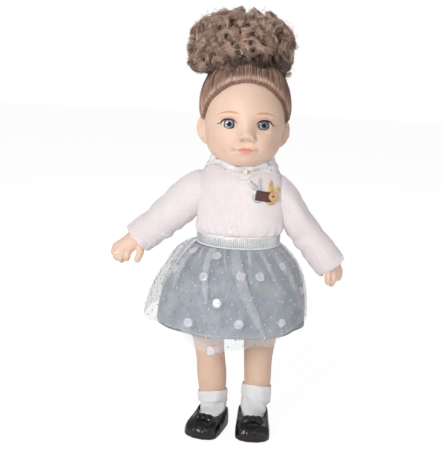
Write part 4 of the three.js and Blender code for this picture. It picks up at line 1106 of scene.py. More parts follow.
def rod(*stations, rows=16, count=14):
    """A round-ended rod through stations of x, y, z and radius."""
    line = spline(stations, rows) if len(stations) > 2 else np.linspace(stations[0], stations[1], rows)
    ends = np.sin(np.linspace(0.12, np.pi / 2, 5))

    def end_stations(at, before):
        """Shrinking stations that round off an end."""
        way = unit((at - before)[:3])
        return [np.append(at[:3] + way * at[3] * math.sqrt(1 - e * e), at[3] * e) for e in ends[:-1]]

    line = np.array(end_stations(line[0], line[1]) + list(line) + end_stations(line[-1], line[-2])[::-1])
    along = np.gradient(line[:, :3], axis=0)
    one = unit(np.cross(along, [0.31, 0.9, 0.2]))
    two = unit(np.cross(along, one))
    c, s = ring(count)
    round_it = c[:, None] * one[:, None] + s[:, None] * two[:, None]
    return line[:, None, :3] + line[:, 3, None, None] * round_it

# %% [markdown]
# Each hand is a list of rods: the palm first, then four fingers and the thumb. A rod is two or three
# stations of place and radius, so a finger is curled by moving one station.

# %% Hands
HANDS = {
    "right": [((111, 0, 213, 9.0), (127, -1, 202, 6.2)), ((113, -1, 211, 8.0), (131.5, 0, 200.5, 5.4)),
              ((110, -2, 211, 8.0), (119, -3, 200, 6.0)), ((110, -1, 212, 8.0), (124, -3, 200.5, 6.2)),
              ((131.5, -2, 200, 4.3), (134.6, -3, 196, 3.5), (133.6, 0, 192.5, 2.9)),
              ((128.6, -4, 199, 4.3), (132.2, -6, 193, 3.7), (130.8, -2, 188.6, 3.0)),
              ((123.6, -5, 199, 4.3), (126.4, -8, 192, 3.8), (125.8, -3, 186.6, 3.1)),
              ((118.4, -5, 199, 4.2), (119.6, -8, 193, 3.7), (120.2, -4, 189.0, 3.1)),
              ((107.5, -3, 206, 5.4), (105.6, -7, 198, 4.1), (108.6, -8, 189.2, 3.4))],
    "left": [((98.5, 0, 200, 9.0), (105, 0, 191, 7.0)), ((98.0, -3, 198, 8.0), (101, -6, 190, 6.2)),
             ((100, 3, 199, 8.0), (108.5, 4, 192, 5.2)),
             ((100, -9, 189, 4.4), (98.4, -13, 181, 3.7), (99.4, -10, 174.4, 3.2)),
             ((103.6, -5, 188, 4.4), (104.8, -9, 179, 3.7), (103.6, -5, 171.4, 3.2)),
             ((107, 0, 189, 4.3), (108.8, -2, 180, 3.6), (106.4, 2, 173.0, 3.0)),
             ((109.4, 5, 191, 4.0), (113.2, 5, 183, 3.3), (112.6, 6, 175.0, 2.8)),
             ((95.4, -3, 196, 5.2), (91.8, -6, 188, 3.8), (91.4, -6, 182.6, 3.1))],
}
for side, word in SIDES:
    lift = LIFT[word]
    slim = 0.74 if word == "left" else 1.0
    halves = ((0, 12.6 * slim), (21, 13 * slim), (42, 11.6), (63, 11.4), (84, 9.5), (88, 8.6))
    tube = limb_rows([(*arm_point(lift, d), half, half * 0.96) for d, half in halves], 30, 40)
    bodies = [tube] + [rod(*(np.array(st, float) for st in finger)) for finger in HANDS[word]]
    bodies = [rows * [side, 1, 1] for rows in bodies]
    arm = melted("arm_and_hand_" + word, bodies, HAND_VOXEL, 7)
    dress(arm, vinyl, "arm_" + word, "vinyl", "arm_" + word)

# %% [markdown]
# The legs are straight vinyl castings with a soft knee, and stand a little apart. They go down into the
# socks, so the part below the ankle is a plain foot that only has to fill the shoe. A knee crease is
# pressed in as a shallow dent, as it shows on the doll's left leg.

# %% Legs
ANKLE = {"left": np.array([26.0, -4.0, 22.0]), "right": np.array([18.8, -4.0, 22.0])}
LEG_HALF = {"left": [(0, 19.0), (0.2, 19.0), (0.45, 17.7), (0.6, 15.6), (0.75, 15.0), (0.88, 14.0), (1, 12)],
            "right": [(0, 19.0), (0.2, 19.2), (0.45, 17.3), (0.6, 15.6), (0.75, 16.4), (0.88, 14.6), (1, 12)]}
BOW_OUT = {"left": 1.5, "right": 4.0}
LOW_OUT = {"left": 2.2, "right": 0.0}
HIP_AT = np.array([hip_x, 0.0, hip_z])


def leg_at(word, share):
    """Middle and half-width of the leg at a share of the way down."""
    middle_line = HIP_AT + (ANKLE[word] - HIP_AT) * share
    middle_line[0] += BOW_OUT[word] * bump((share - 0.3) / 0.18) + LOW_OUT[word] * bump((share - 0.8) / 0.12)
    table = np.array(LEG_HALF[word])
    return middle_line, np.interp(share, table[:, 0], table[:, 1])

# %% [markdown]
# One foot form serves the leg's foot and the sock: widths and heights at shares of the way from heel to
# toe, at the angle at which each foot stands. The shoe's outline uses the same widths.

# %% Feet, and the legs joined to them
TOE_OUT = {"left": -1.0, "right": 21.0}
HEEL, TOE = 16.0, 43.0
FOOT_SHARE = [0, 0.06, 0.22, 0.45, 0.7, 0.88, 0.97, 1]
FOOT_HALF, FOOT_HIGH = 16.0, 7.2
FOOT_WIDE = [0.5, 0.74, 0.86, 0.93, 1.0, 0.98, 0.84, 0.62]
FOOT_TALL = [0.7, 1.05, 1.15, 0.9, 0.7, 0.58, 0.46, 0.34]


def shoe_axes(word):
    """Forward and across on the ground, as the foot stands."""
    turn = math.radians(TOE_OUT[word])
    return np.array([math.sin(turn), -math.cos(turn), 0.0]), np.array([math.cos(turn), math.sin(turn), 0.0])


def foot_rows(word, grow, shares, count):
    """Rings of the foot's form from heel to toe, grown outward. Angles run from the underside up one side."""
    side = 1 if word == "left" else -1
    forward, across = shoe_axes(word)
    shares = np.asarray(shares, float)
    wide = np.interp(shares, FOOT_SHARE, FOOT_WIDE)
    tall = np.interp(shares, FOOT_SHARE, FOOT_TALL)
    for _ in range(2):
        wide[1:-1] = (wide[:-2] + wide[1:-1] * 2 + wide[2:]) / 4
        tall[1:-1] = (tall[:-2] + tall[1:-1] * 2 + tall[2:]) / 4
    angle = around(count) - np.pi / 2
    c, s = np.cos(angle), np.sin(angle)
    c = np.sign(c) * np.abs(c) ** 0.8
    s = np.sign(s) * np.abs(s) ** 0.8
    ankle = ANKLE[word] * [1, 1, 0]
    along = -HEEL + (HEEL + TOE) * shares
    middle_z = 5.5 + FOOT_HIGH * tall
    out = (FOOT_HALF * wide + grow)[:, None] * c
    rows = ankle + along[:, None, None] * forward + out[..., None] * across
    rows[..., 2] += middle_z[:, None] + (FOOT_HIGH * tall + grow)[:, None] * s
    return rows * [side, 1, 1]


for side, word in SIDES:
    stations = []
    for share in np.linspace(0, 1.06, 14):
        at, half = leg_at(word, min(share, 1.0))
        stations.append((*(at + [0, 0, -9 * max(share - 1, 0) / 0.06]), half, half))
    tube = limb_rows(stations, 90, 72)
    knee = HIP_AT[2] + (ANKLE[word][2] - HIP_AT[2]) * 0.52
    x, up = tube[..., 0], tube[..., 2] - knee
    dent = 0.9 * bump((up - 1.5 * np.sin(x / 4)) / 1.2) * bump((x - 30) / 6)
    cap_of_knee = 1.3 * bump((up - 8) / 7) * bump((x - 29) / 8)
    tube[..., 1] += np.where(tube[..., 1] < 0, dent - cap_of_knee, 0)
    foot = foot_rows(word, 0.0, np.linspace(0.02, 0.95, 24), 39)
    leg = melted("leg_and_foot_" + word, [tube * [side, 1, 1], foot], LEG_VOXEL, 6)
    dress(leg, shaded_leg_vinyl, "leg_" + word, "vinyl", "leg_" + word)

# %% [markdown]
# The socks are fine white knit with a turned-down cuff whose lower edge runs slanting, as hand-turned cuffs
# do. The whole sock is one profile turned round the leg: up the inside, over the top, down the cuff, under
# it, and down to the shoe. A second skin covers the foot under the bow.

# %% Socks
def knit_finish(name, colour, shade, wale_mm, depth_mm):
    """Columns of V stitches with a little fuzz; the hollows between stitches are painted in the shade colour.
    """
    finish, tree, shader = new_finish(name, colour, 0.85, Sheen_Weight=0.25, Sheen_Roughness=0.5,
                                      Specular_IOR_Level=0.2)
    u, v = uv_mm(tree)
    column = u.math("PINGPONG", wale_mm / 2)
    slant = (v + column * 1.1).math("PINGPONG", wale_mm * 0.42)
    yarn = column.ramp(0.0, wale_mm * 0.3) * slant.ramp(0.0, wale_mm * 0.3)
    fuzz = noise(tree, 0.9, 3)
    # deep is painted shade in the hollows between stitches, plus random fuzz; it blends towards the shade
    # colour.
    deep = (1.0 - yarn) * 0.5 + fuzz.ramp(0.65, 0.25) * 0.4
    colour_into(tree, shader, blend_colour(tree, deep * 0.6, colour, shade))
    bump_into(tree, shader, yarn * depth_mm + fuzz * depth_mm * 1.2)
    return finish


sock_knit = knit_finish("sock_knit", srgb(255, 255, 255), srgb(226, 223, 223), 1.5, 0.24)
SOCK_TOP = {"left": 50.5, "right": 42.0}
CUFF_HIGH = {"left": 17.0, "right": 13.0}
CUFF_TILT = {"left": -0.3, "right": -0.06}
TOP_TILT = {"left": -0.08, "right": -0.11}


def sock_rows(word, count=140):
    top, cuff = SOCK_TOP[word], CUFF_HIGH[word]
    low = top - cuff
    profile = [(top - 5, 0.3), (top - 0.6, 0.7), (top, 1.6), (top - 0.8, 1.9), (top - 4, 2.3), (low + 4, 2.6),
               (low + 0.8, 3.0), (low, 2.8), (low + 0.8, 1.5), (low - 1.4, 1.6), (25, 2.2), (20, 2.2),
               (13, 1.6)]
    line = []
    for (z0, g0), (z1, g1) in zip(profile[:-1], profile[1:]):
        steps = 5 if abs(z1 - z0) > 3 else 3
        line += [(z0 + (z1 - z0) * k / steps, g0 + (g1 - g0) * k / steps) for k in range(steps)]
    line.append(profile[-1])
    c, s = ring(count)
    turn = around(count)
    rows = []
    for z, grow in line:
        at, half = leg_at(word, np.clip((HIP_AT[2] - z) / (HIP_AT[2] - ANKLE[word][2]), 0, 1))
        in_cuff = smooth((z - (low - 1)) / (cuff * 0.7))
        tilt = (TOP_TILT[word] * in_cuff + CUFF_TILT[word] * bump((z - low) / 4)) * c * half
        slump = 0.7 * np.cos(3 * turn + z * 0.35) * smooth((z - 14) / 8) * (1 - in_cuff)
        wave = 0.35 * np.cos(7 * turn + z * 0.2)
        r = half + grow + slump + wave
        raised = 4.5 * np.maximum(-s, 0) * smooth((z - 20) / 10)
        rows.append(np.stack([at[0] + r * c, at[1] + r * s, z + tilt + raised], -1))
    return np.array(rows)


for side, word in SIDES:
    sock = grid_piece("sock_and_cuff_" + word, sock_rows(word) * [side, 1, 1])
    dress(sock, sock_knit, "leg_" + word, "sock", "sock_" + word)
    toe = grid_piece("sock_foot_" + word, foot_rows(word, 0.7, np.linspace(0.04, 0.85, 30), 59), caps=True)
    dress(toe, sock_knit, "leg_" + word, "sock")

# %% [markdown]
# The shoes are black patent: a thin shiny skin with soft creases, a topline that rises a little at each
# side of the ankle, and a rounded red sole. The upper is lofted from the sole's edge up and over to the
# mouth round the ankle, then thickened, so the edge shows its thickness.

# %% Shoes
patent, tree, shader = new_finish("black_patent", srgb(22, 22, 23), 0.25, Coat_Weight=0.25,
                                  Coat_Roughness=0.1)
crease = noise(tree, 7, 2).ramp(0.3, 0.7)
colour_into(tree, shader, blend_colour(tree, crease, srgb(14, 14, 15), srgb(28, 28, 29)))
bump_into(tree, shader, crease * 0.5 + noise(tree, 2.2, 2) * 0.12)
sole_red, tree, shader = new_finish("sole_red", srgb(196, 58, 58), 0.5)
scuff = noise(tree, 1.6, 4).ramp(0.45, 0.8)
colour_into(tree, shader, blend_colour(tree, scuff * 0.6, srgb(200, 60, 60), srgb(150, 44, 46)))
bump_into(tree, shader, scuff * 0.08)

MOUTH_FRONT, MOUTH_BACK, MOUTH_SIDE = 21.0, 15.2, 15.2
SHOE_WALL = 1.4
MOUTH_Z_AT = {"left": 19.2, "right": 18.2}


def shoe_outline(grow, count=41):
    """The sole's outline in the foot's own directions: forward, then across."""
    shares = 0.5 - 0.52 * np.cos(np.linspace(0, np.pi, count))
    half = FOOT_HALF * np.interp(shares, FOOT_SHARE, FOOT_WIDE) + grow
    half *= np.sqrt(np.clip(1 - (np.abs(shares - 0.5) / 0.535) ** 9, 0.02, 1))
    along = -HEEL + (HEEL + TOE) * shares + np.sign(shares - 0.5) * (grow - 2.4)
    right, left = np.stack([along, half], -1), np.stack([along, -half], -1)
    return np.concatenate([right, left[::-1][1:-1]])


def in_shoe(word, side, along, across, z):
    forward, sideways = shoe_axes(word)
    place = ANKLE[word] * [1, 1, 0] + along[..., None] * forward + across[..., None] * sideways
    place[..., 2] = z
    return place * [side, 1, 1]


def upper_rows(word, side):
    """The upper, from the sole's edge up and over to the mouth round the ankle."""
    low = shoe_outline(3.2, 61)
    turn = np.arctan2(low[:, 1] / MOUTH_SIDE, low[:, 0] / MOUTH_FRONT)
    away = np.abs(np.degrees(turn))
    mouth_long = np.where(away < 90, MOUTH_FRONT, MOUTH_BACK)
    high = np.stack([mouth_long * np.cos(turn), MOUTH_SIDE * np.sin(turn)], -1)
    high_z = MOUTH_Z_AT[word] + 4.4 * bump((away - 98) / 26) + 2.0 * smooth((away - 120) / 60)
    rows = []
    for step in np.linspace(0, np.pi / 2, 30):
        part = 1 - math.cos(step) ** 0.72
        place = low + (high - low) * part
        z = 1.2 + (high_z - 1.2) * math.sin(step) ** 0.68
        crease = 0.5 * np.cos(turn * 17 + 3 * part) * bump((part - 0.75) / 0.2) * (away < 80)
        rows.append(in_shoe(word, side, place[:, 0], place[:, 1], z + crease))
    return np.array(rows)


def sole_rows(word, side):
    outline = shoe_outline(2.4)
    middle_line = outline.mean(0)
    rows = []
    for z, grow in ((0.0, -2.2), (0.3, -0.9), (1.0, -0.2), (2.0, 0.1), (3.0, -0.1), (3.6, -0.8), (3.7, -2.5)):
        out = outline - middle_line
        size = np.linalg.norm(out, axis=1, keepdims=True)
        edge = middle_line + out * (1 + grow / size)
        rows.append(in_shoe(word, side, edge[:, 0], edge[:, 1], z))
    return np.array(rows)

# %% [markdown]
# A bow lies across the front of each shoe: two gathered loops and a knot, joined into one mesh. Cloth could
# be simulated, but a bow this small is stiff. Then upper, sole and bow are dressed for both feet.

# %% Bows
def joined(name, grids):
    """Several row-grids as one mesh, with texture coordinates in millimetres."""
    parts = [grid_piece(name + str(i), rows, outward=False) for i, rows in enumerate(grids)]
    work = bmesh.new()
    for part in parts:
        work.from_mesh(part.data)
        bpy.data.objects.remove(part)
    bmesh.ops.remove_doubles(work, verts=work.verts, dist=0.02 * MM)
    bmesh.ops.recalc_face_normals(work, faces=work.faces)
    mesh = bpy.data.meshes.new(name)
    work.to_mesh(mesh)
    work.free()
    return smooth_piece(name, mesh)


def thickened(piece, inward_mm):
    """Applies a wall thickness and a subdivision."""
    wall = piece.modifiers.new("wall", "SOLIDIFY")
    wall.thickness = inward_mm * MM
    wall.offset = -1
    piece.modifiers.new("round", "SUBSURF").levels = 1
    seen = piece.evaluated_get(bpy.context.evaluated_depsgraph_get())
    mesh = bpy.data.meshes.new_from_object(seen)
    piece.modifiers.clear()
    piece.data = mesh
    mesh.polygons.foreach_set("use_smooth", [True] * len(mesh.polygons))
    return piece


def bow_rows(word, side):
    """Two gathered loops and a knot across the vamp."""
    forward, across = shoe_axes(word)
    knot = ANKLE[word] * [1, 1, 0] + forward * 27.5 + [0, 0, MOUTH_Z_AT[word] + 1.6]
    slope = forward * 0.86 - np.array([0, 0, 0.5])
    rise = np.array([0, 0, 0.86]) + forward * 0.5
    t = np.linspace(0, 1, 26)[:, None]
    angle = np.linspace(0, 2 * np.pi, 41)[None, :-1]
    tip = np.sqrt(1 - np.clip((t - 0.82) / 0.18, 0, 1) ** 2 * 0.96)
    tall = 1.5 + 4.6 * np.sin(np.pi * t**0.8 * 0.62) * tip
    thick = 1.6 + 3.0 * np.sin(np.pi * t**0.9) ** 0.8
    gather = 1 + 0.16 * np.cos(5 * angle + 0.6) * np.exp(-2.2 * t)
    drop = (-7.5 * t**2 + 0 * angle)[..., None] * np.array([0, 0, 1.0])
    loop = (knot + drop + (tall * np.cos(angle) * gather)[..., None] * slope
            + (thick * np.sin(angle) * gather)[..., None] * rise)
    grids = [loop + (hand * (1.0 + 14.0 * t))[..., None] * across for hand in (-1, 1)]
    t = np.linspace(-1, 1, 14)[:, None]
    angle = np.linspace(0, 2 * np.pi, 33)[None, :-1]
    body = np.sqrt(1 - np.abs(t * 0.97) ** 3)
    knot_rows = (knot + rise * 0.8 + (t * 3.4 + 0 * angle)[..., None] * across
                 + (4.2 * body * np.cos(angle))[..., None] * slope
                 + (3.0 * body * np.sin(angle))[..., None] * rise)
    grids.append(knot_rows)
    return [rows * [side, 1, 1] for rows in grids]


for side, word in SIDES:
    upper = thickened(grid_piece("shoe_skin_" + word, upper_rows(word, side)), SHOE_WALL)
    dress(upper, patent, "leg_" + word, "patent", "shoe_upper_" + word)
    dress(grid_piece("shoe_tread_" + word, sole_rows(word, side), caps=True), sole_red, "leg_" + word, "sole",
          "shoe_sole_" + word)
    bow = joined("shoe_ribbon_" + word, bow_rows(word, side))
    dress(bow, patent, "leg_" + word, "patent", "shoe_bow_" + word)

# %% [markdown]
# Under the clothes is a stuffed cloth body, sewn from a front and a back with a seam down each side. It
# hardly shows, but it fills the clothes when the doll is seen from below. A pillow-shaped tube that pulls
# in at the waist and at the seams is enough; a pressure simulation would give the same form.

# %% Stuffed body
body_cloth, tree, shader = new_finish("body_cloth", srgb(236, 222, 208), 0.9, Sheen_Weight=0.2)
u, v = uv_mm(tree)
weave = u.math("PINGPONG", 0.35).ramp(0.0, 0.3) * v.math("PINGPONG", 0.35).ramp(0.0, 0.3)
colour_into(tree, shader, blend_colour(tree, weave, srgb(214, 198, 182), srgb(240, 228, 216)))
bump_into(tree, shader, weave * 0.12)
body_levels = [(158, 30, 20), (166, 39, 27), (180, 42, 31), (196, 41.5, 31.5), (212, 40.8, 30.8),
               (222, 40.6, 30.6), (236, 42, 31.5), (256, 42.4, 30.6), (272, 41, 28.5), (282, 33, 25),
               (287, 22, 20), (289, 17.5, 17)]
line = spline(body_levels, 70)
c, s = ring(120, 0.8)
seam_dip = 1 - 0.03 * np.exp(-((np.abs(s)) / 0.05) ** 2)
rows = oval_rows(line[:, 1:2] * seam_dip, line[:, 2:3], line[:, 0:1], c, s)
stuffed = dress(grid_piece("stuffed_body", rows, caps=True), body_cloth, "torso", "body_cloth", "torso_cover",
                "torso_filling")

# %% [markdown]
# The sweater is fluffy white knit with a breath of pink, and painted pinkish shade in the hollows between
# its stitches. It is loose over the chest and gathered where the silver band holds it. Its neckline rises
# towards the shoulders. Body and sleeves are lofted shells with soft folds pressed into them; a cloth run
# would add folds too, but pressed ones can be put where the photograph has them.

# %% Sweater body
sweater_knit = knit_finish("sweater_knit", srgb(255, 249, 250), srgb(244, 214, 219), 2.4, 0.5)
SWEATER = [(212, 42.4, 32.4, 0.9), (223, 42.5, 32.5, 0.9), (225.4, 43.8, 33.6, 0.86),
           (228.6, 46.4, 35.7, 0.8), (234, 46.6, 35.3, 0.7), (242, 46, 34.3, 0.6), (258, 45.8, 33.3, 0.56),
           (272, 45.6, 32.2, 0.55),
           (280, 45, 31.4, 0.57), (287, 42.8, 29.8, 0.68), (291, 38.8, 28.2, 0.82), (293.4, 34.6, 26.3, 0.9),
           (294.2, 31.5, 24.6, 0.9), (293.2, 29.0, 23.0, 0.95)]
NECK_RISE = 4.5


def sweater_front(x, z, out=0.0):
    """Depth of the sweater's front at a place seen from the front, a little outside it."""
    table = np.array(SWEATER[:-1])
    wide = np.interp(z, table[:, 0], table[:, 1])
    deep = np.interp(z, table[:, 0], table[:, 2])
    power = np.interp(z, table[:, 0], table[:, 3])
    left = np.clip(1 - (np.abs(x) / wide) ** (2 / power), 0.0, 1)
    return -deep * left ** (power / 2) - out


def sweater_rows(rows=110, count=260):
    line = spline(SWEATER, rows)
    angle = around(count)
    c, s = np.cos(angle)[None, :], np.sin(angle)[None, :]
    power = line[:, 3:4]
    x = line[:, 1:2] * np.sign(c) * np.abs(c) ** power
    y = line[:, 2:3] * np.sign(s) * np.abs(s) ** power
    z = line[:, 0:1] + NECK_RISE * np.abs(c) ** 1.5 * smooth((line[:, 0:1] - 286) / 7)
    gather = 0.75 * np.cos(23 * angle + 2 * np.sin(3 * angle)) * bump((z - 230) / 5)
    drape = 0.7 * np.cos(5 * angle + 0.05 * z + 1.2) * bump((z - 248) / 16)
    pull = -1.1 * bump((np.abs(x) - 33 - 0.35 * (z - 262)) / 3.2) * bump((z - 258) / 13) * (y < 0)
    size = np.sqrt(x * x + y * y)
    grow = 1 + (gather + drape + pull) / size
    return np.stack([x * grow, y * grow, z], -1)


sweater = grid_piece("sweater_shell", sweater_rows(), outward=False)
dress(sweater, sweater_knit, "torso", "knit", "sweater_body")

# %% [markdown]
# A sleeve turns with its arm about the round armhole, so it starts as a circle on the side of the body and
# then bends down along the arm. Folds gather at the elbow and above the cuff, and the cuff turns in to the
# wrist.

# %% Sleeves
SLEEVE_END = {"left": 91.0, "right": 80.0}
SLACK = {"left": [(0, 0), (6.5, 0.22), (22, 0.44), (40, 0.33), (64, 0.15), (90, 0.05)],
         "right": [(0, 0), (20, 0.06), (44, 0)]}


def sleeve_rows(word, count=150, rows=130):
    lift, end = LIFT[word], SLEEVE_END[word]
    stations = [(armhole_x - 6.5, 0, shoulder_z + 0.6, 23.0, 22.6), (armhole_x, 0, shoulder_z, 23.8, 22.8)]
    for d, wide, deep in ((12.5, 21.8, 21.6), (30, 20.4, 19.6), (54, 18.8, 17.9), (end - 10, 18.4, 17.4),
                          (end - 1, 17.9, 17.0), (end, 16.6, 16.0), (end - 1.5, 14.8, 14.4),
                          (end - 8, 13.6, 13.2)):
        stations.append((*arm_point(lift, d), wide, deep))
    line = spline(stations, rows)
    travel = np.concatenate([[0], np.cumsum(np.linalg.norm(np.diff(line[:, :3], axis=0), axis=1))])
    first = smooth(travel / 26)[:, None]
    along = np.array([1.0, 0, -0.05]) * (1 - first) + hanging(lift) * first
    across = unit(np.cross(along, [0, 1, 0]))
    angle = around(count)
    c, s = np.cos(angle)[None, :], np.sin(angle)[None, :]
    d = travel[:, None]
    middle_part = smooth((d - 20) / 18) * smooth((travel.max() - 17 - d) / 10)
    inner = 0.5 - 0.5 * c
    fold = 0.55 * np.cos(2 * np.pi * d / 15 + 1.4 * np.cos(angle - 0.9) + 0.6) * middle_part
    fold *= 0.3 + 0.7 * inner
    fold += 0.6 * np.cos(2 * np.pi * d / 27 + 2.0 * np.sin(angle + 0.4)) * middle_part
    fold += 0.9 * bump((d - 47) / 5) * (np.cos(angle - 2.2) > 0) * np.cos(angle - 2.2)
    fold -= 1.2 * bump((d - 57 - 3 * c) / 3.2) * (0.5 + 0.5 * np.cos(angle + 2.0))
    hem = -0.5 * bump((d - (travel.max() - 16.5)) / 0.8)
    slack = np.interp(travel, *np.array(SLACK[word]).T)[:, None]
    r_wide = (line[:, 3:4] + fold + hem) * (1 - slack * smooth((c + 0.2) / 1.0))
    r_deep = line[:, 4:5] + fold + hem
    return (line[:, None, :3] + (r_wide * c)[..., None] * across[:, None, :]
            + (r_deep * s)[..., None] * np.array([0, 1.0, 0]))


for side, word in SIDES:
    sleeve = grid_piece("sleeve_shell_" + word, sleeve_rows(word) * [side, 1, 1], outward=False)
    dress(sleeve, sweater_knit, "arm_" + word, "knit", "sleeve_" + word)

# %% [markdown]
# The sweater opens down the back and closes with a strip of hook-and-loop tape, sewn along both edges. The
# tape is a thin pad that follows the knit, with a felted face and a row of stitches down each side.

# %% Back tape
tape_felt = two_tone("tape_felt", srgb(240, 238, 238), 0.95, srgb(214, 211, 212), srgb(246, 244, 244),
                     0.6, 4, 0.35, Sheen_Weight=0.4)
thread = two_tone("white_thread", srgb(244, 243, 243), 0.7, srgb(222, 220, 222), srgb(250, 249, 249), 0.5)


def pad_on(surface, outline_u, outline_v, thick):
    """A thin pad laid on a surface: rows from its edge on the surface up to a flat face."""
    steps = [(1.0, -0.3), (1.0, 0.35 * thick), (0.985, 0.8 * thick), (0.95, thick), (0.5, thick * 1.03),
             (0.02, thick * 1.05)]
    mu, mv = outline_u.mean(), outline_v.mean()
    return np.array([surface(mu + (outline_u - mu) * size, mv + (outline_v - mv) * size, out)
                     for size, out in steps])


def sweater_back(x, z, out):
    return np.stack([x, -sweater_front(x, z, out), z], -1)


def box_outline(cx, cz, half_x, half_z, per_side=24, power=0.16):
    c, s = ring(per_side * 4, power)
    return cx + half_x * c, cz + half_z * s


TAPE_THICK, TAPE_STITCH = 1.5, 0.2
ox, oz = box_outline(0.0, 257.7, 5.5, 26)
tape = grid_piece("back_tape", pad_on(sweater_back, ox, oz, TAPE_THICK), caps=True)
dress(tape, tape_felt, "torso", "tape", "sweater_back_tape")
stitches = []
for x in (-4.4, 4.4):
    for z in np.arange(233, 282, 2.4):
        zz = np.linspace(z, z + 1.5, 5)
        lift_up = TAPE_THICK + 0.3 * np.sin(np.linspace(0, np.pi, 5))
        stitches.append(np.array([sweater_back(np.array(x), zz[k], lift_up[k]) for k in range(5)]))
dress(many_tubes("tape_stitches", stitches, TAPE_STITCH, 5), thread, "torso", "tape")

# %% [markdown]
# The collar is a ruffle of white net, gathered at the neck and standing higher at the sides than under the
# chin. Its few gold specks come later, with the skirt's dots. Net is see-through, so its finish lets part
# of the light pass. It is sewn to the sweater but leans on the jaw.

# %% Collar ruffle
def net_finish(name, colour, cover_low, cover_high, mesh_mm):
    """Fine net: threads in two directions, a little denser in blotches, partly see-through."""
    finish, tree, shader = new_finish(name, colour, 0.75, Sheen_Weight=0.3)
    u, v = uv_mm(tree)
    threads = u.math("PINGPONG", mesh_mm / 2).ramp(mesh_mm * 0.3, 0.0).math(
        "MAXIMUM", v.math("PINGPONG", mesh_mm / 2).ramp(mesh_mm * 0.3, 0.0))
    blotch = noise(tree, 16, 2).ramp(0.3, 0.7)
    cover = (threads * 0.6 + blotch * 0.4) * (cover_high - cover_low) + cover_low
    tree.links.new(cover.socket, shader.inputs["Alpha"])
    shade = tuple(v * 0.93 for v in colour[:3]) + (1.0,)
    colour_into(tree, shader, blend_colour(tree, blotch, shade, colour))
    return finish


collar_net = net_finish("collar_net", srgb(250, 249, 252), 0.6, 0.95, 0.8)
COLLAR_FOOT = neck_z + 3.6


def collar_point(angle, share):
    side_up = np.abs(np.cos(angle)) ** 1.5
    front = bump((np.degrees(angle) - 272) / 12)
    tall = 5.2 + 8.6 * side_up + 1.6 * (np.sin(angle) > 0) + 0.7 * np.cos(9 * angle + 1)
    fall = (0.9 + 6.4 * front + 0.6 * np.cos(7 * angle)) * max(-share, 0)
    part = abs(share)
    ruffle = (0.3 + (1.1 if share > 0 else 0.5) * part) * np.cos(15 * angle + 1.3 * np.sin(2 * angle))
    ruffle = ruffle + 0.7 * part * np.cos(8 * angle)
    lean = 2.2 * np.sin(np.pi * max(share, 0) * 0.8)
    table = np.array(SWEATER[5:-1])
    rest_x, rest_y = [np.interp(COLLAR_FOOT - fall, table[:, 0], table[:, k]) + 0.6 + 2.2 * part
                      for k in (1, 2)]
    half_x = (rest_x if share < 0 else 31.8) + lean + ruffle
    half_y = (rest_y if share < 0 else 24.6) + lean + ruffle
    z = COLLAR_FOOT + tall * max(share, 0) - fall + 0.5 * part
    level = (share + 1) / 2
    half_x = half_x + side_up * (38.4 - 6.8 * level + ruffle - half_x)
    low = COLLAR_FOOT - 1.6 + NECK_RISE
    z = z + side_up * (low + (tall + 1.6 - NECK_RISE) * level - z)
    return np.stack([half_x * np.cos(angle), half_y * np.sin(angle), z], -1)


angle = around(520)
rows = np.array([collar_point(angle, share) for share in np.linspace(-1, 1, 29)])
collar = grid_piece("collar_ruffle", rows, outward=False)
collar.data.materials.append(collar_net)
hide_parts("collar_frill")
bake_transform(collar)

# %% [markdown]
# A small square bead sits at the middle of the neckline. It is a pearly faceted block with eased edges: a
# cube grown from a rounded-power ball, so that its faces stay flat and its edges soft.

# %% Neck bead
pearl = two_tone("pearl_bead", srgb(236, 224, 206), 0.22, srgb(240, 214, 184), srgb(246, 240, 232), 2.5,
                 ease=(0.3, 0.7), Coat_Weight=0.5)
BEAD = 4.6
bead_z = neck_z + 5.0
ball = ball_grid(26, 48, 0.03)[2]
ball /= (np.abs(ball) ** 6).sum(-1, keepdims=True) ** (1 / 6)
bead = ball * [BEAD / 2, 1.4, BEAD / 2] + [3.2, -29.4, bead_z]
dress(grid_piece("neck_bead", bead, caps=True), pearl, "torso", "bead", "collar_bead")

# %% [markdown]
# The badge is two glitter-felt rabbit heads, a bare brown label across them and a wooden button sewn at its
# end. Each felt shape is a thin pad that follows the sweater; ears and head are separate pads so that they
# can lean differently. Glitter is a crowd of tiny cells, each with its own brightness.

# %% Badge
GLITTER_MM = 0.55


def glitter_finish(name, dark, light, rib_mm=0.0):
    finish, tree, shader = new_finish(name, light, 0.35, Metallic=0.55)
    cells = tree.nodes.new("ShaderNodeTexVoronoi")
    cells.inputs["Scale"].default_value = 1 / (GLITTER_MM * MM)
    tree.links.new(place_on(tree), cells.inputs["Vector"])
    pick = tree.nodes.new("ShaderNodeSeparateXYZ")
    tree.links.new(cells.outputs["Color"], pick.inputs[0])
    bright = Wire(tree, pick.outputs[0])
    if rib_mm:
        bright = bright * 0.4 + uv_mm(tree)[0].math("PINGPONG", rib_mm / 2).ramp(0.0, rib_mm * 0.35) * 0.6
    colour_into(tree, shader, blend_colour(tree, bright, dark, light))
    tree.links.new((bright * 0.4 + 0.2).socket, shader.inputs["Roughness"])
    bump_into(tree, shader, bright * 0.15)
    return finish


silver_glitter = glitter_finish("silver_glitter", srgb(190, 190, 192), srgb(228, 228, 230))
gold_glitter = glitter_finish("gold_glitter", srgb(206, 168, 98), srgb(250, 222, 160))


def sweater_place(x, z, out):
    return np.stack([x, sweater_front(x, z, out), z], -1)


def leaned(x, z, degrees):
    a = math.radians(degrees)
    return x * math.cos(a) - z * math.sin(a), x * math.sin(a) + z * math.cos(a)


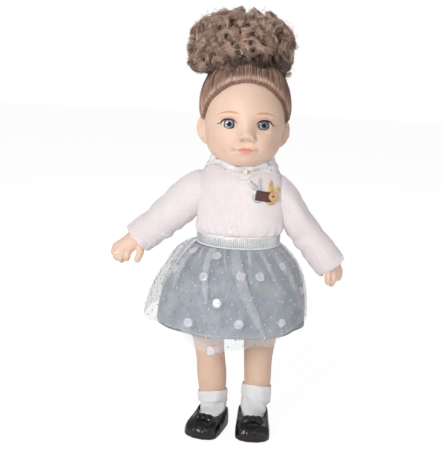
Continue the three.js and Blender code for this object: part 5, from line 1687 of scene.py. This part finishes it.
def oval(cx, cz, half_x, half_z, lean=0.0, point=0.0, count=72):
    """An oval outline; lean tips it, point narrows its top."""
    x, z = half_x * np.cos(around(count)), half_z * np.sin(around(count))
    x, z = leaned(x * (1 - point * np.clip(z / half_z, -0.4, 1)), z, lean)
    return cx + x, cz + z


def felt_shape(name, ovals, thick, finish, slot, node):
    grids = [pad_on(sweater_place, *outline, thick) for outline in ovals]
    dress(joined(name, grids), finish, "torso", slot, node)
    rims = []
    for ox, oz in ovals:
        mx, mz = ox.mean(), oz.mean()
        rim = sweater_place(mx + (ox - mx) * 0.8, mz + (oz - mz) * 0.86, thick * 1.02)
        rims.append(np.concatenate([rim, rim[:1]]))
    dress(many_tubes(name + "_seam", rims, FELT_SEAM, 5), finish, "torso", slot)


BADGE_Z = shoulder_z + 4.6
BADGE_X = 1.0
FELT_SEAM, LABEL_STITCH, BUTTON_THREAD = 0.22, 0.16, 0.32
silver_ovals = [oval(16.6 + BADGE_X, BADGE_Z, 6.3, 7.6),
                oval(11.0 + BADGE_X, BADGE_Z + 10.6, 2.8, 6.6, 38, 0.2),
                oval(18.0 + BADGE_X, BADGE_Z + 12.2, 2.5, 6.6, -3, 0.12)]
gold_ovals = [oval(30.0 + BADGE_X, BADGE_Z - 1.4, 6.8, 7.8),
              oval(29.6 + BADGE_X, BADGE_Z + 10, 2.4, 6.2, -3, 0.2),
              oval(35.6 + BADGE_X, BADGE_Z + 5.6, 2.6, 4.6, -50, -0.1)]
felt_shape("felt_rabbit_silver", silver_ovals, 1.5, silver_glitter, "silver_glitter", "rabbit_patch_silver")
felt_shape("felt_rabbit_gold", gold_ovals, 1.6, gold_glitter, "gold_glitter", "rabbit_patch_gold")

# %% [markdown]
# The label is a thin bare pad with a stitched edge, laid over the felt. The button is a turned disc with a
# raised rim, leaning as the chest does there, and two crossed stitches hold it.

# %% Label and button
label_brown = two_tone("label_brown", srgb(84, 52, 50), 0.7, srgb(62, 38, 38), srgb(104, 68, 64),
                       0.7, 3, 0.15)
ox, oz = leaned(*box_outline(0, 0, 8.6, 5.3, 20, 0.12), -8)
label_x, label_z = 22.6 + BADGE_X + ox, BADGE_Z + oz
label_rows = pad_on(lambda x, z, out: sweater_place(x, z, out + 1.6), label_x, label_z, 0.9)
label = grid_piece("bare_label", label_rows, caps=True)
dress(label, label_brown, "torso", "label", "badge_label")
edge_stitch = []
mx, mz = label_x.mean(), label_z.mean()
for k in range(0, 80, 2):
    share = np.linspace(k, k + 1.1, 4)
    sx = np.interp(share, np.arange(81), np.append(label_x, label_x[0]))
    sz = np.interp(share, np.arange(81), np.append(label_z, label_z[0]))
    edge_stitch.append(sweater_place(mx + (sx - mx) * 0.9, mz + (sz - mz) * 0.86, 2.62))
dark_thread = two_tone("dark_thread", srgb(52, 32, 32), 0.7, srgb(40, 24, 25), srgb(70, 46, 44), 0.4)
dress(many_tubes("label_stitches", edge_stitch, LABEL_STITCH, 5), dark_thread, "torso", "label")

button_wood = two_tone("button_wood", srgb(214, 164, 122), 0.45, srgb(196, 138, 96), srgb(232, 190, 150),
                       2.2, 4, 0.08, (0.3, 0.7), (1, 1, 6))
BUTTON_AT = (32.6 + BADGE_X, BADGE_Z + 0.4)
BUTTON_SLOPE = 0.32
button_y = float(sweater_front(np.array(BUTTON_AT[0]), np.array(BUTTON_AT[1]), 3.0))
profile = [(4.7, -0.4), (4.9, 0.5), (4.8, 1.2), (4.2, 1.7), (3.5, 1.7), (3.0, 1.2), (2.2, 1.1), (1.0, 1.1),
           (0.05, 1.1)]


def on_button(x, z, out):
    """From the button's own millimetres to the doll's, leaning as the chest does."""
    return np.stack([BUTTON_AT[0] + x, button_y - out + BUTTON_SLOPE * x, BUTTON_AT[1] + z], -1)


c, s = ring(56)
rows = [on_button(r * c, r * s, out) for r, out in profile]
dress(grid_piece("wood_button", rows, caps=True), button_wood, "torso", "button", "badge_button")
sewn = []
for one, two in (((-1.1, 1.0), (1.1, -1.0)), ((-1.1, -1.0), (1.1, 1.0))):
    x, z = np.linspace(one, two, 9).T
    sewn.append(on_button(x, z, 1.05 + 0.5 * np.sin(np.linspace(0, np.pi, 9))))
dress(many_tubes("button_thread", sewn, BUTTON_THREAD, 6), dark_thread, "torso", "button")

# %% [markdown]
# The skirt hangs from a wide silver elastic with fine upright ribs and a white edge above and below. The
# ribs are real ridges, two millimetres apart, because they catch the light one by one; glitter in the
# finish breaks them up.

# %% Waistband
band_silver = glitter_finish("band_silver", srgb(150, 151, 154), srgb(240, 240, 242), 2.1)
BAND_LOW, BAND_HIGH = hip_z + 40.75, hip_z + 53.25
BAND_WIDE, BAND_DEEP = 44.6, 34.6
BAND_EDGE = 0.85
angle = around(1000)
rib = 0.4 * np.abs(np.cos(62 * angle))
rows = []
for z, grow in ((BAND_LOW + 1, -1.6), (BAND_LOW, -0.4), (BAND_LOW + 1.2, 0.1), (BAND_LOW + 4, 0.3),
                (BAND_LOW + 6.5, 0.35), (BAND_HIGH - 4, 0.3), (BAND_HIGH - 1.2, 0.1), (BAND_HIGH, -0.4),
                (BAND_HIGH - 1, -1.6)):
    out = grow + rib * (grow > 0)
    rows.append(oval_rows(BAND_WIDE + out, BAND_DEEP + out, z, np.cos(angle), np.sin(angle)))
dress(grid_piece("silver_band", rows, outward=False), band_silver, "torso", "lurex_band", "waistband")
turn = np.linspace(0, 2 * np.pi, 161)
edges = [oval_rows(BAND_WIDE + 0.3, BAND_DEEP + 0.3, z, np.cos(turn), np.sin(turn))
         for z in (BAND_LOW + 0.5, BAND_HIGH - 0.4)]
dress(many_tubes("band_edges", edges, BAND_EDGE, 8), thread, "torso", "lurex_band")

# %% [markdown]
# The lining is a plain bell of slate-blue cloth that swells out just below the band and hangs almost
# straight, with a hem turned up and stitched all round. It is a sheet of one thickness. When the doll sits,
# its front has to rise with the thighs and its back stay.

# %% Skirt lining
SKIRT_TOP = hip_z + 40.4
LINING_LONG = 88.5
lining_cloth, tree, shader = new_finish("lining_cloth", srgb(128, 138, 153), 0.8, Sheen_Weight=0.2)
u, v = uv_mm(tree)
weave = (u + v).math("PINGPONG", 0.3).ramp(0.0, 0.3)
slub = noise(tree, 5, 3, "UV", (1, 0.1, 1)).ramp(0.3, 0.7)
colour = blend_colour(tree, weave * 0.5 + slub * 0.5, srgb(118, 128, 143), srgb(138, 148, 163))
colour_into(tree, shader, blend_colour(tree, v.ramp(91.0, 93.0) * 0.25, colour, srgb(160, 168, 180)))
bump_into(tree, shader, weave * 0.08 + slub * 0.05)


def bell(angle, share):
    """Radii and height of the bell the skirt follows."""
    rate = 2.9 + 0.8 * np.cos(angle)
    flare = 1 - np.clip(1 - share, 0, 1) ** rate
    wide = 44.65 + 35.35 * flare
    deep = 34.65 + 33.35 * flare
    return wide, deep, -5.0 * flare, SKIRT_TOP - LINING_LONG * share + 0 * angle


def skirt_place(angle, share, out):
    wide, deep, shift, z = bell(angle, share)
    return np.stack([np.cos(angle) * (wide + out) + shift, np.sin(angle) * (deep + out), z], -1)


def lining_out(angle, share):
    gather = 0.5 * np.cos(31 * angle) * bump((share - 0.06) / 0.1)
    return gather + 1.5 * share * np.cos(7 * angle + 0.6) + 0.8 * share * np.cos(11 * angle + 2)


def hang(piece, finish, slot, *nodes):
    """Gives a skirt piece its finish, hides the solids it stands for and bakes its place into its points."""
    piece.data.materials.clear()
    piece.data.materials.append(finish)
    if nodes:
        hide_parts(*nodes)
    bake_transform(piece)
    print("hung", piece.name, len(piece.data.vertices), "points")
    return piece


angle = around(300)
rows = [skirt_place(angle, s, lining_out(angle, s)) for s in np.linspace(0, 1, 46)]
rows.append(skirt_place(angle, 0.996, lining_out(angle, 1.0) - 1.2))
rows.append(skirt_place(angle, 0.96, lining_out(angle, 0.96) - 1.4))
lining = hang(grid_piece("skirt_underskirt", rows, outward=False), lining_cloth, "lining", "skirt_lining")
lining_area = sum(p.area for p in lining.data.polygons)
print("lining area", round(lining_area, 4))

HEM_STITCHES, HEM_LEVEL, HEM_THREAD = 210, 0.965, 0.34
lift_up = 0.12 + 0.16 * np.sin(np.linspace(0, np.pi, 5))
hem = []
for k in range(HEM_STITCHES):
    a = np.linspace(k, k + 0.68, 5) * 2 * np.pi / HEM_STITCHES
    hem.append(skirt_place(a, HEM_LEVEL, lining_out(a, HEM_LEVEL) + lift_up))
hem_stitches = hang(many_tubes("hem_stitches", hem, HEM_THREAD, 5), thread, "lining")

# %% [markdown]
# Over it floats a layer of soft net, gathered into the band. Each gather is a pleat that lies over itself
# at the top and opens towards the hem, so it shows as a pale wedge, where three layers of net add up. The
# pleats are made by letting the angle run back on itself for a while, and the net stands off further on the
# doll's right.

# %% Net overskirt
net = net_finish("skirt_net", srgb(220, 225, 231), 0.2, 0.5, 0.9)
# Each pleat: its angle at the top, its width, its angle where it ends, and how far down that is.
PLEATS = [(8, 9, 10, 0.4), (27, 7, 24, 0.7), (45, 10, 50, 0.3), (66, 8, 62, 0.9), (84, 10, 88, 0.45),
          (104, 8, 108, 0.8), (124, 10, 120, 0.35), (143, 8, 148, 1.0), (161, 9, 158, 0.5),
          (179, 9, 186, 0.8), (197, 8, 204, 0.35),
          (213.8, 10, 220.3, 0.58), (223.8, 4, 231.3, 0.12), (238, 9, 252.2, 0.54), (252.7, 3.5, 261, 0.15),
          (266.6, 11, 297.2, 1.06), (283.5, 7, 283, 0.14), (298.6, 7, 307.5, 0.41), (316.5, 13, 335.2, 0.83),
          (335.5, 8, 343.5, 0.3), (351, 6, 350, 0.5)]
HEM_AT = [0, 20, 50, 90, 130, 160, 180, 200, 214, 236, 245, 257, 266, 280, 290, 302, 310, 335, 360]
HEM_SHARE = [0.91, 0.92, 0.96, 1.13, 0.96, 0.94, 0.95, 0.94, 0.9, 0.9, 1.1, 1.165, 1.12, 1.075, 1.055, 1.09,
             0.95, 0.9, 0.91]
NET_ROWS = 60


def hem_share(angle):
    """How far down the net hangs, as a share of the lining's length; lower in front and behind."""
    return np.interp(np.degrees(angle) % 360, HEM_AT, HEM_SHARE)


def net_place(angle, share, lift_up=0.0):
    """The net without its pleats."""
    angle = np.asarray(angle, float)
    stand = 19 * (0.55 - 0.45 * np.cos(angle)) * np.sqrt(np.clip(share, 0, 2)) * (1 - 0.35 * share)
    puff = 5.5 * bump((share - 0.1) / 0.1) * (0.5 - 0.5 * np.cos(angle)) ** 2
    sway = 1.2 * share * np.cos(9 * angle + 1.0)
    return skirt_place(angle, share, 1.6 + stand + puff + sway + lift_up)


def pleat_row(down):
    """Angles and heights of one row of the net: each pleat runs forward, back and forward again, the panels
    between lead from the top of one pleat to the foot of the next. A pleat that has ended keeps its points at
    one place."""
    first, wide, last, long = np.array(PLEATS, float).T
    part = np.clip(down / long, 0, 1)
    centre = first + (last - first) * part
    half = wide / 2 * np.sqrt(1 - part) + 0.05
    for k in range(1, len(first)):
        centre[k] = max(centre[k], centre[k - 1] + half[k - 1] + half[k] + 0.5)
    fold = np.array([-1, -0.33, 0.33, 1, 0.96, 0.33, -0.33, -1, -0.96, -0.33, 0.33, 1])
    rise = np.linspace(0, 1, len(fold))
    angle, height = [], []
    for k in range(len(first)):
        following = (k + 1) % len(first)
        tall = 0.3 + 0.2 * half[k]
        begin = centre[k] + half[k]
        end = centre[following] - half[following] + (360 if following == 0 else 0)
        panel = np.linspace(0, 1, 18)[1:-1]
        angle += list(centre[k] + half[k] * fold) + list(begin + (end - begin) * panel)
        height += list(tall * rise) + list(tall * (1 - smooth(panel * 1.4)))
    return np.radians(angle), np.array(height)


net_angle, net_height, rows = [], [], []
for down in np.linspace(0, 1, NET_ROWS):
    angle, height = pleat_row(down * 1.08)
    share = down * hem_share(angle)
    rows.append(net_place(angle, share, height))
    net_angle.append(angle % (2 * np.pi))
    net_height.append(height)
net_rows = np.array(rows)
overskirt = hang(grid_piece("skirt_overskirt", net_rows, outward=False), net, "tulle", "skirt_tulle")
net_area = sum(p.area for p in overskirt.data.polygons)
print("net area", round(net_area, 4))

# %% [markdown]
# The net is scattered with pinpoint foil dots in gold, pale gold and bronze, in staggered rows, and with
# clear iridescent sequins; the collar has a few of the same foil specks. Each dot is a tiny dome glued on
# the net, each sequin a thin disc with a film of changing colour.

# %% Discs on the net
def discs(name, places, normals, radius, thick, sides):
    """Low domes set on a surface; the texture coordinate holds one random number per disc."""
    rng = np.random.default_rng(len(places))
    profile = [(1.0, -0.2), (1.0, 0.4), (0.72, 0.85), (0.02, 1.0)]
    points, faces, uvs = [], [], []
    for number, (at, normal) in enumerate(zip(places, normals)):
        one = unit(np.cross(normal, [0.2, 0.1, 1.0]))
        two = np.cross(normal, one)
        c, s = ring(sides)
        start = number * sides * len(profile)
        for wide, out in profile:
            points.append(at + normal * out * thick + radius * wide * (c[:, None] * one + s[:, None] * two))
        faces += grid_faces(len(profile), sides, start).tolist()
        shade = rng.random()
        for r, cc in np.ndindex(len(profile) - 1, sides):
            for dr, dc in ((0, 0), (0, 1), (1, 1), (1, 0)):
                wide = profile[r + dr][0]
                turn = (cc + dc) * 2 * np.pi / sides
                uvs.append((number + shade + 0.3 * wide * math.cos(turn), 0.5 + 0.5 * wide * math.sin(turn)))
    return new_piece(name, np.concatenate(points), faces, uvs)


def on_net(angle, share):
    """Place and outward direction of the net's outermost layer near an angle and a share of its length."""
    row = int(round(np.clip(share / float(hem_share(angle)), 0, 1) * (NET_ROWS - 1)))
    off = np.abs((net_angle[row] - angle + np.pi) % (2 * np.pi) - np.pi)
    near = np.flatnonzero(off < off.min() + 0.012)
    at = net_rows[row, near[np.argmax(net_height[row][near])]]
    side = net_place(angle + 0.01, share) - net_place(angle - 0.01, share)
    down = net_place(angle, share + 0.01) - net_place(angle, share - 0.01)
    normal = unit(np.cross(side, down))
    return at, normal if normal @ [math.cos(angle), math.sin(angle), 0.15] > 0 else -normal

# %% [markdown]
# The dots sit in staggered rows on the outermost layer of the net, and a dot that would fall below the hem
# is left out. The collar's specks are a list of places in front and an even row behind.

# %% Dots and collar specks
foil, tree, shader = new_finish("foil_dots", srgb(232, 202, 138), 0.3, Metallic=0.35)
pick = uv_mm(tree)[0].math("FRACT")
colour = blend_colour(tree, pick.ramp(0.25, 0.45), srgb(150, 118, 56), srgb(224, 178, 92))
colour_into(tree, shader, blend_colour(tree, pick.ramp(0.6, 0.8), colour, srgb(250, 242, 214)))
DOT, SPECK, SEQUIN = 0.95, 0.9, 5.1
DOT_HIGH, SEQUIN_HIGH = 0.45, 0.35
DOT_ROWS, DOTS_ROUND, ROW_APART = 14, 36, 0.083
spots = []
for row in range(DOT_ROWS):
    for k in range(DOTS_ROUND):
        a = (k + 0.5 * (row % 2)) * 2 * np.pi / DOTS_ROUND
        s = 0.05 + row * ROW_APART
        if s < hem_share(a):
            spots.append((a, s))
places, normals = zip(*[on_net(a, s) for a, s in spots])
dots = hang(discs("net_dots", places, normals, DOT, DOT_HIGH, 8), foil, "tulle")


def on_collar(angle, share):
    """Place and outward direction on the collar ruffle."""
    side = collar_point(angle + 0.01, share) - collar_point(angle - 0.01, share)
    up = collar_point(angle, share + 0.05) - collar_point(angle, share - 0.05)
    return collar_point(angle, share), unit(np.cross(side, up))


SPECKS = [(215, 0.1), (228, 0.5), (240, -0.1), (252, -0.6), (286, -0.5), (293, 0.25), (301, 0.15),
          (316, -0.2), (331, 0.3)]
SPECKS += [(k, 0.3 * (k % 3) - 0.3) for k in range(0, 205, 16)]
places, normals = zip(*[on_collar(math.radians(a), s) for a, s in SPECKS])
specks = discs("collar_specks", places, normals, SPECK, DOT_HIGH, 8)
specks.data.materials.append(foil)
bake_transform(specks)

# %% [markdown]
# The sequins in front are placed where the photograph has them, and those behind are scattered. Their film
# is partly clear, and its pale tint changes from disc to disc.

# %% Sequins
film, tree, shader = new_finish("sequin_film", srgb(232, 230, 234), 0.16, Metallic=0.25, Coat_Weight=0.6)
shimmer = noise(tree, 3.2, 2).ramp(0.25, 0.75)
tone = (uv_mm(tree)[0].math("FRACT") * 0.6 + shimmer * 0.7).math("FRACT")
colour = blend_colour(tree, tone.ramp(0.1, 0.4), srgb(234, 248, 240), srgb(250, 232, 240))
colour = blend_colour(tree, tone.ramp(0.5, 0.8), colour, srgb(226, 236, 250))
colour_into(tree, shader, colour)
tree.links.new((shimmer * 0.35 + 0.6).socket, shader.inputs["Alpha"])
bump_into(tree, shader, noise(tree, 1.8, 1) * 0.35)
SEQUINS = [(215, 0.05), (249, 0.05), (212.5, 0.275), (243, 0.27), (275, 0.235), (292, 0.25), (319.5, 0.18),
           (260, 0.555), (241, 0.81), (276, 0.775), (309, 0.8), (258, 1.12), (190, 0.85), (340, 0.5),
           (12, 0.7), (38, 0.3), (60, 0.85),
           (82, 0.5), (104, 0.2), (124, 0.75), (146, 0.4), (168, 0.6), (98, 0.95), (28, 0.5)]
places, normals = zip(*[on_net(math.radians(a), s) for a, s in SEQUINS])
sequins = hang(discs("net_sequins", places, normals, SEQUIN, SEQUIN_HIGH, 28), film, "tulle")

# %% [markdown]
# Inside are the parts that let the doll move: elastic through the shoulders and hips, plastic cups that
# hold its knots, the tie round the neck and the band under the puff. Their solids already have the right
# form, so they stay and get finishes: braided elastic with a diagonal weave, milky moulded plastic, smooth
# nylon.

# %% Inner parts
BRAID_SCALE = 400


def braid_finish(name, dark, light):
    finish, tree, shader = new_finish(name, light, 0.8, Sheen_Weight=0.2)
    wave = tree.nodes.new("ShaderNodeTexWave")
    wave.bands_direction = "DIAGONAL"
    wave.inputs["Scale"].default_value = BRAID_SCALE
    wave.inputs["Distortion"].default_value = 0.6
    tree.links.new(place_on(tree), wave.inputs["Vector"])
    strand = Wire(tree, wave.outputs["Fac"])
    colour_into(tree, shader, blend_colour(tree, strand, dark, light))
    bump_into(tree, shader, strand * 0.15)
    return finish


elastic_braid = braid_finish("elastic_braid", srgb(196, 192, 186), srgb(240, 238, 234))
hair_band = braid_finish("hair_band", srgb(30, 24, 22), srgb(64, 52, 46))
cup_plastic = two_tone("cup_plastic", srgb(232, 228, 220), 0.35, srgb(222, 217, 208), srgb(240, 237, 230),
                       3, 3, 0.05)
tie_nylon = two_tone("tie_nylon", srgb(238, 238, 238), 0.3, srgb(226, 226, 226), srgb(246, 246, 246), 2)
inner = {"arm_elastic": elastic_braid, "hip_elastic": elastic_braid, "hair_tie": hair_band,
         "neck_tie": tie_nylon}
for limb in ("arm", "leg"):
    for side, word in SIDES:
        inner[limb + "_cup_" + word] = cup_plastic
for node, finish in inner.items():
    solid = frame["nodes"][node]
    solid.data.materials.clear()
    solid.data.materials.append(finish)
print("inner parts", len(inner))
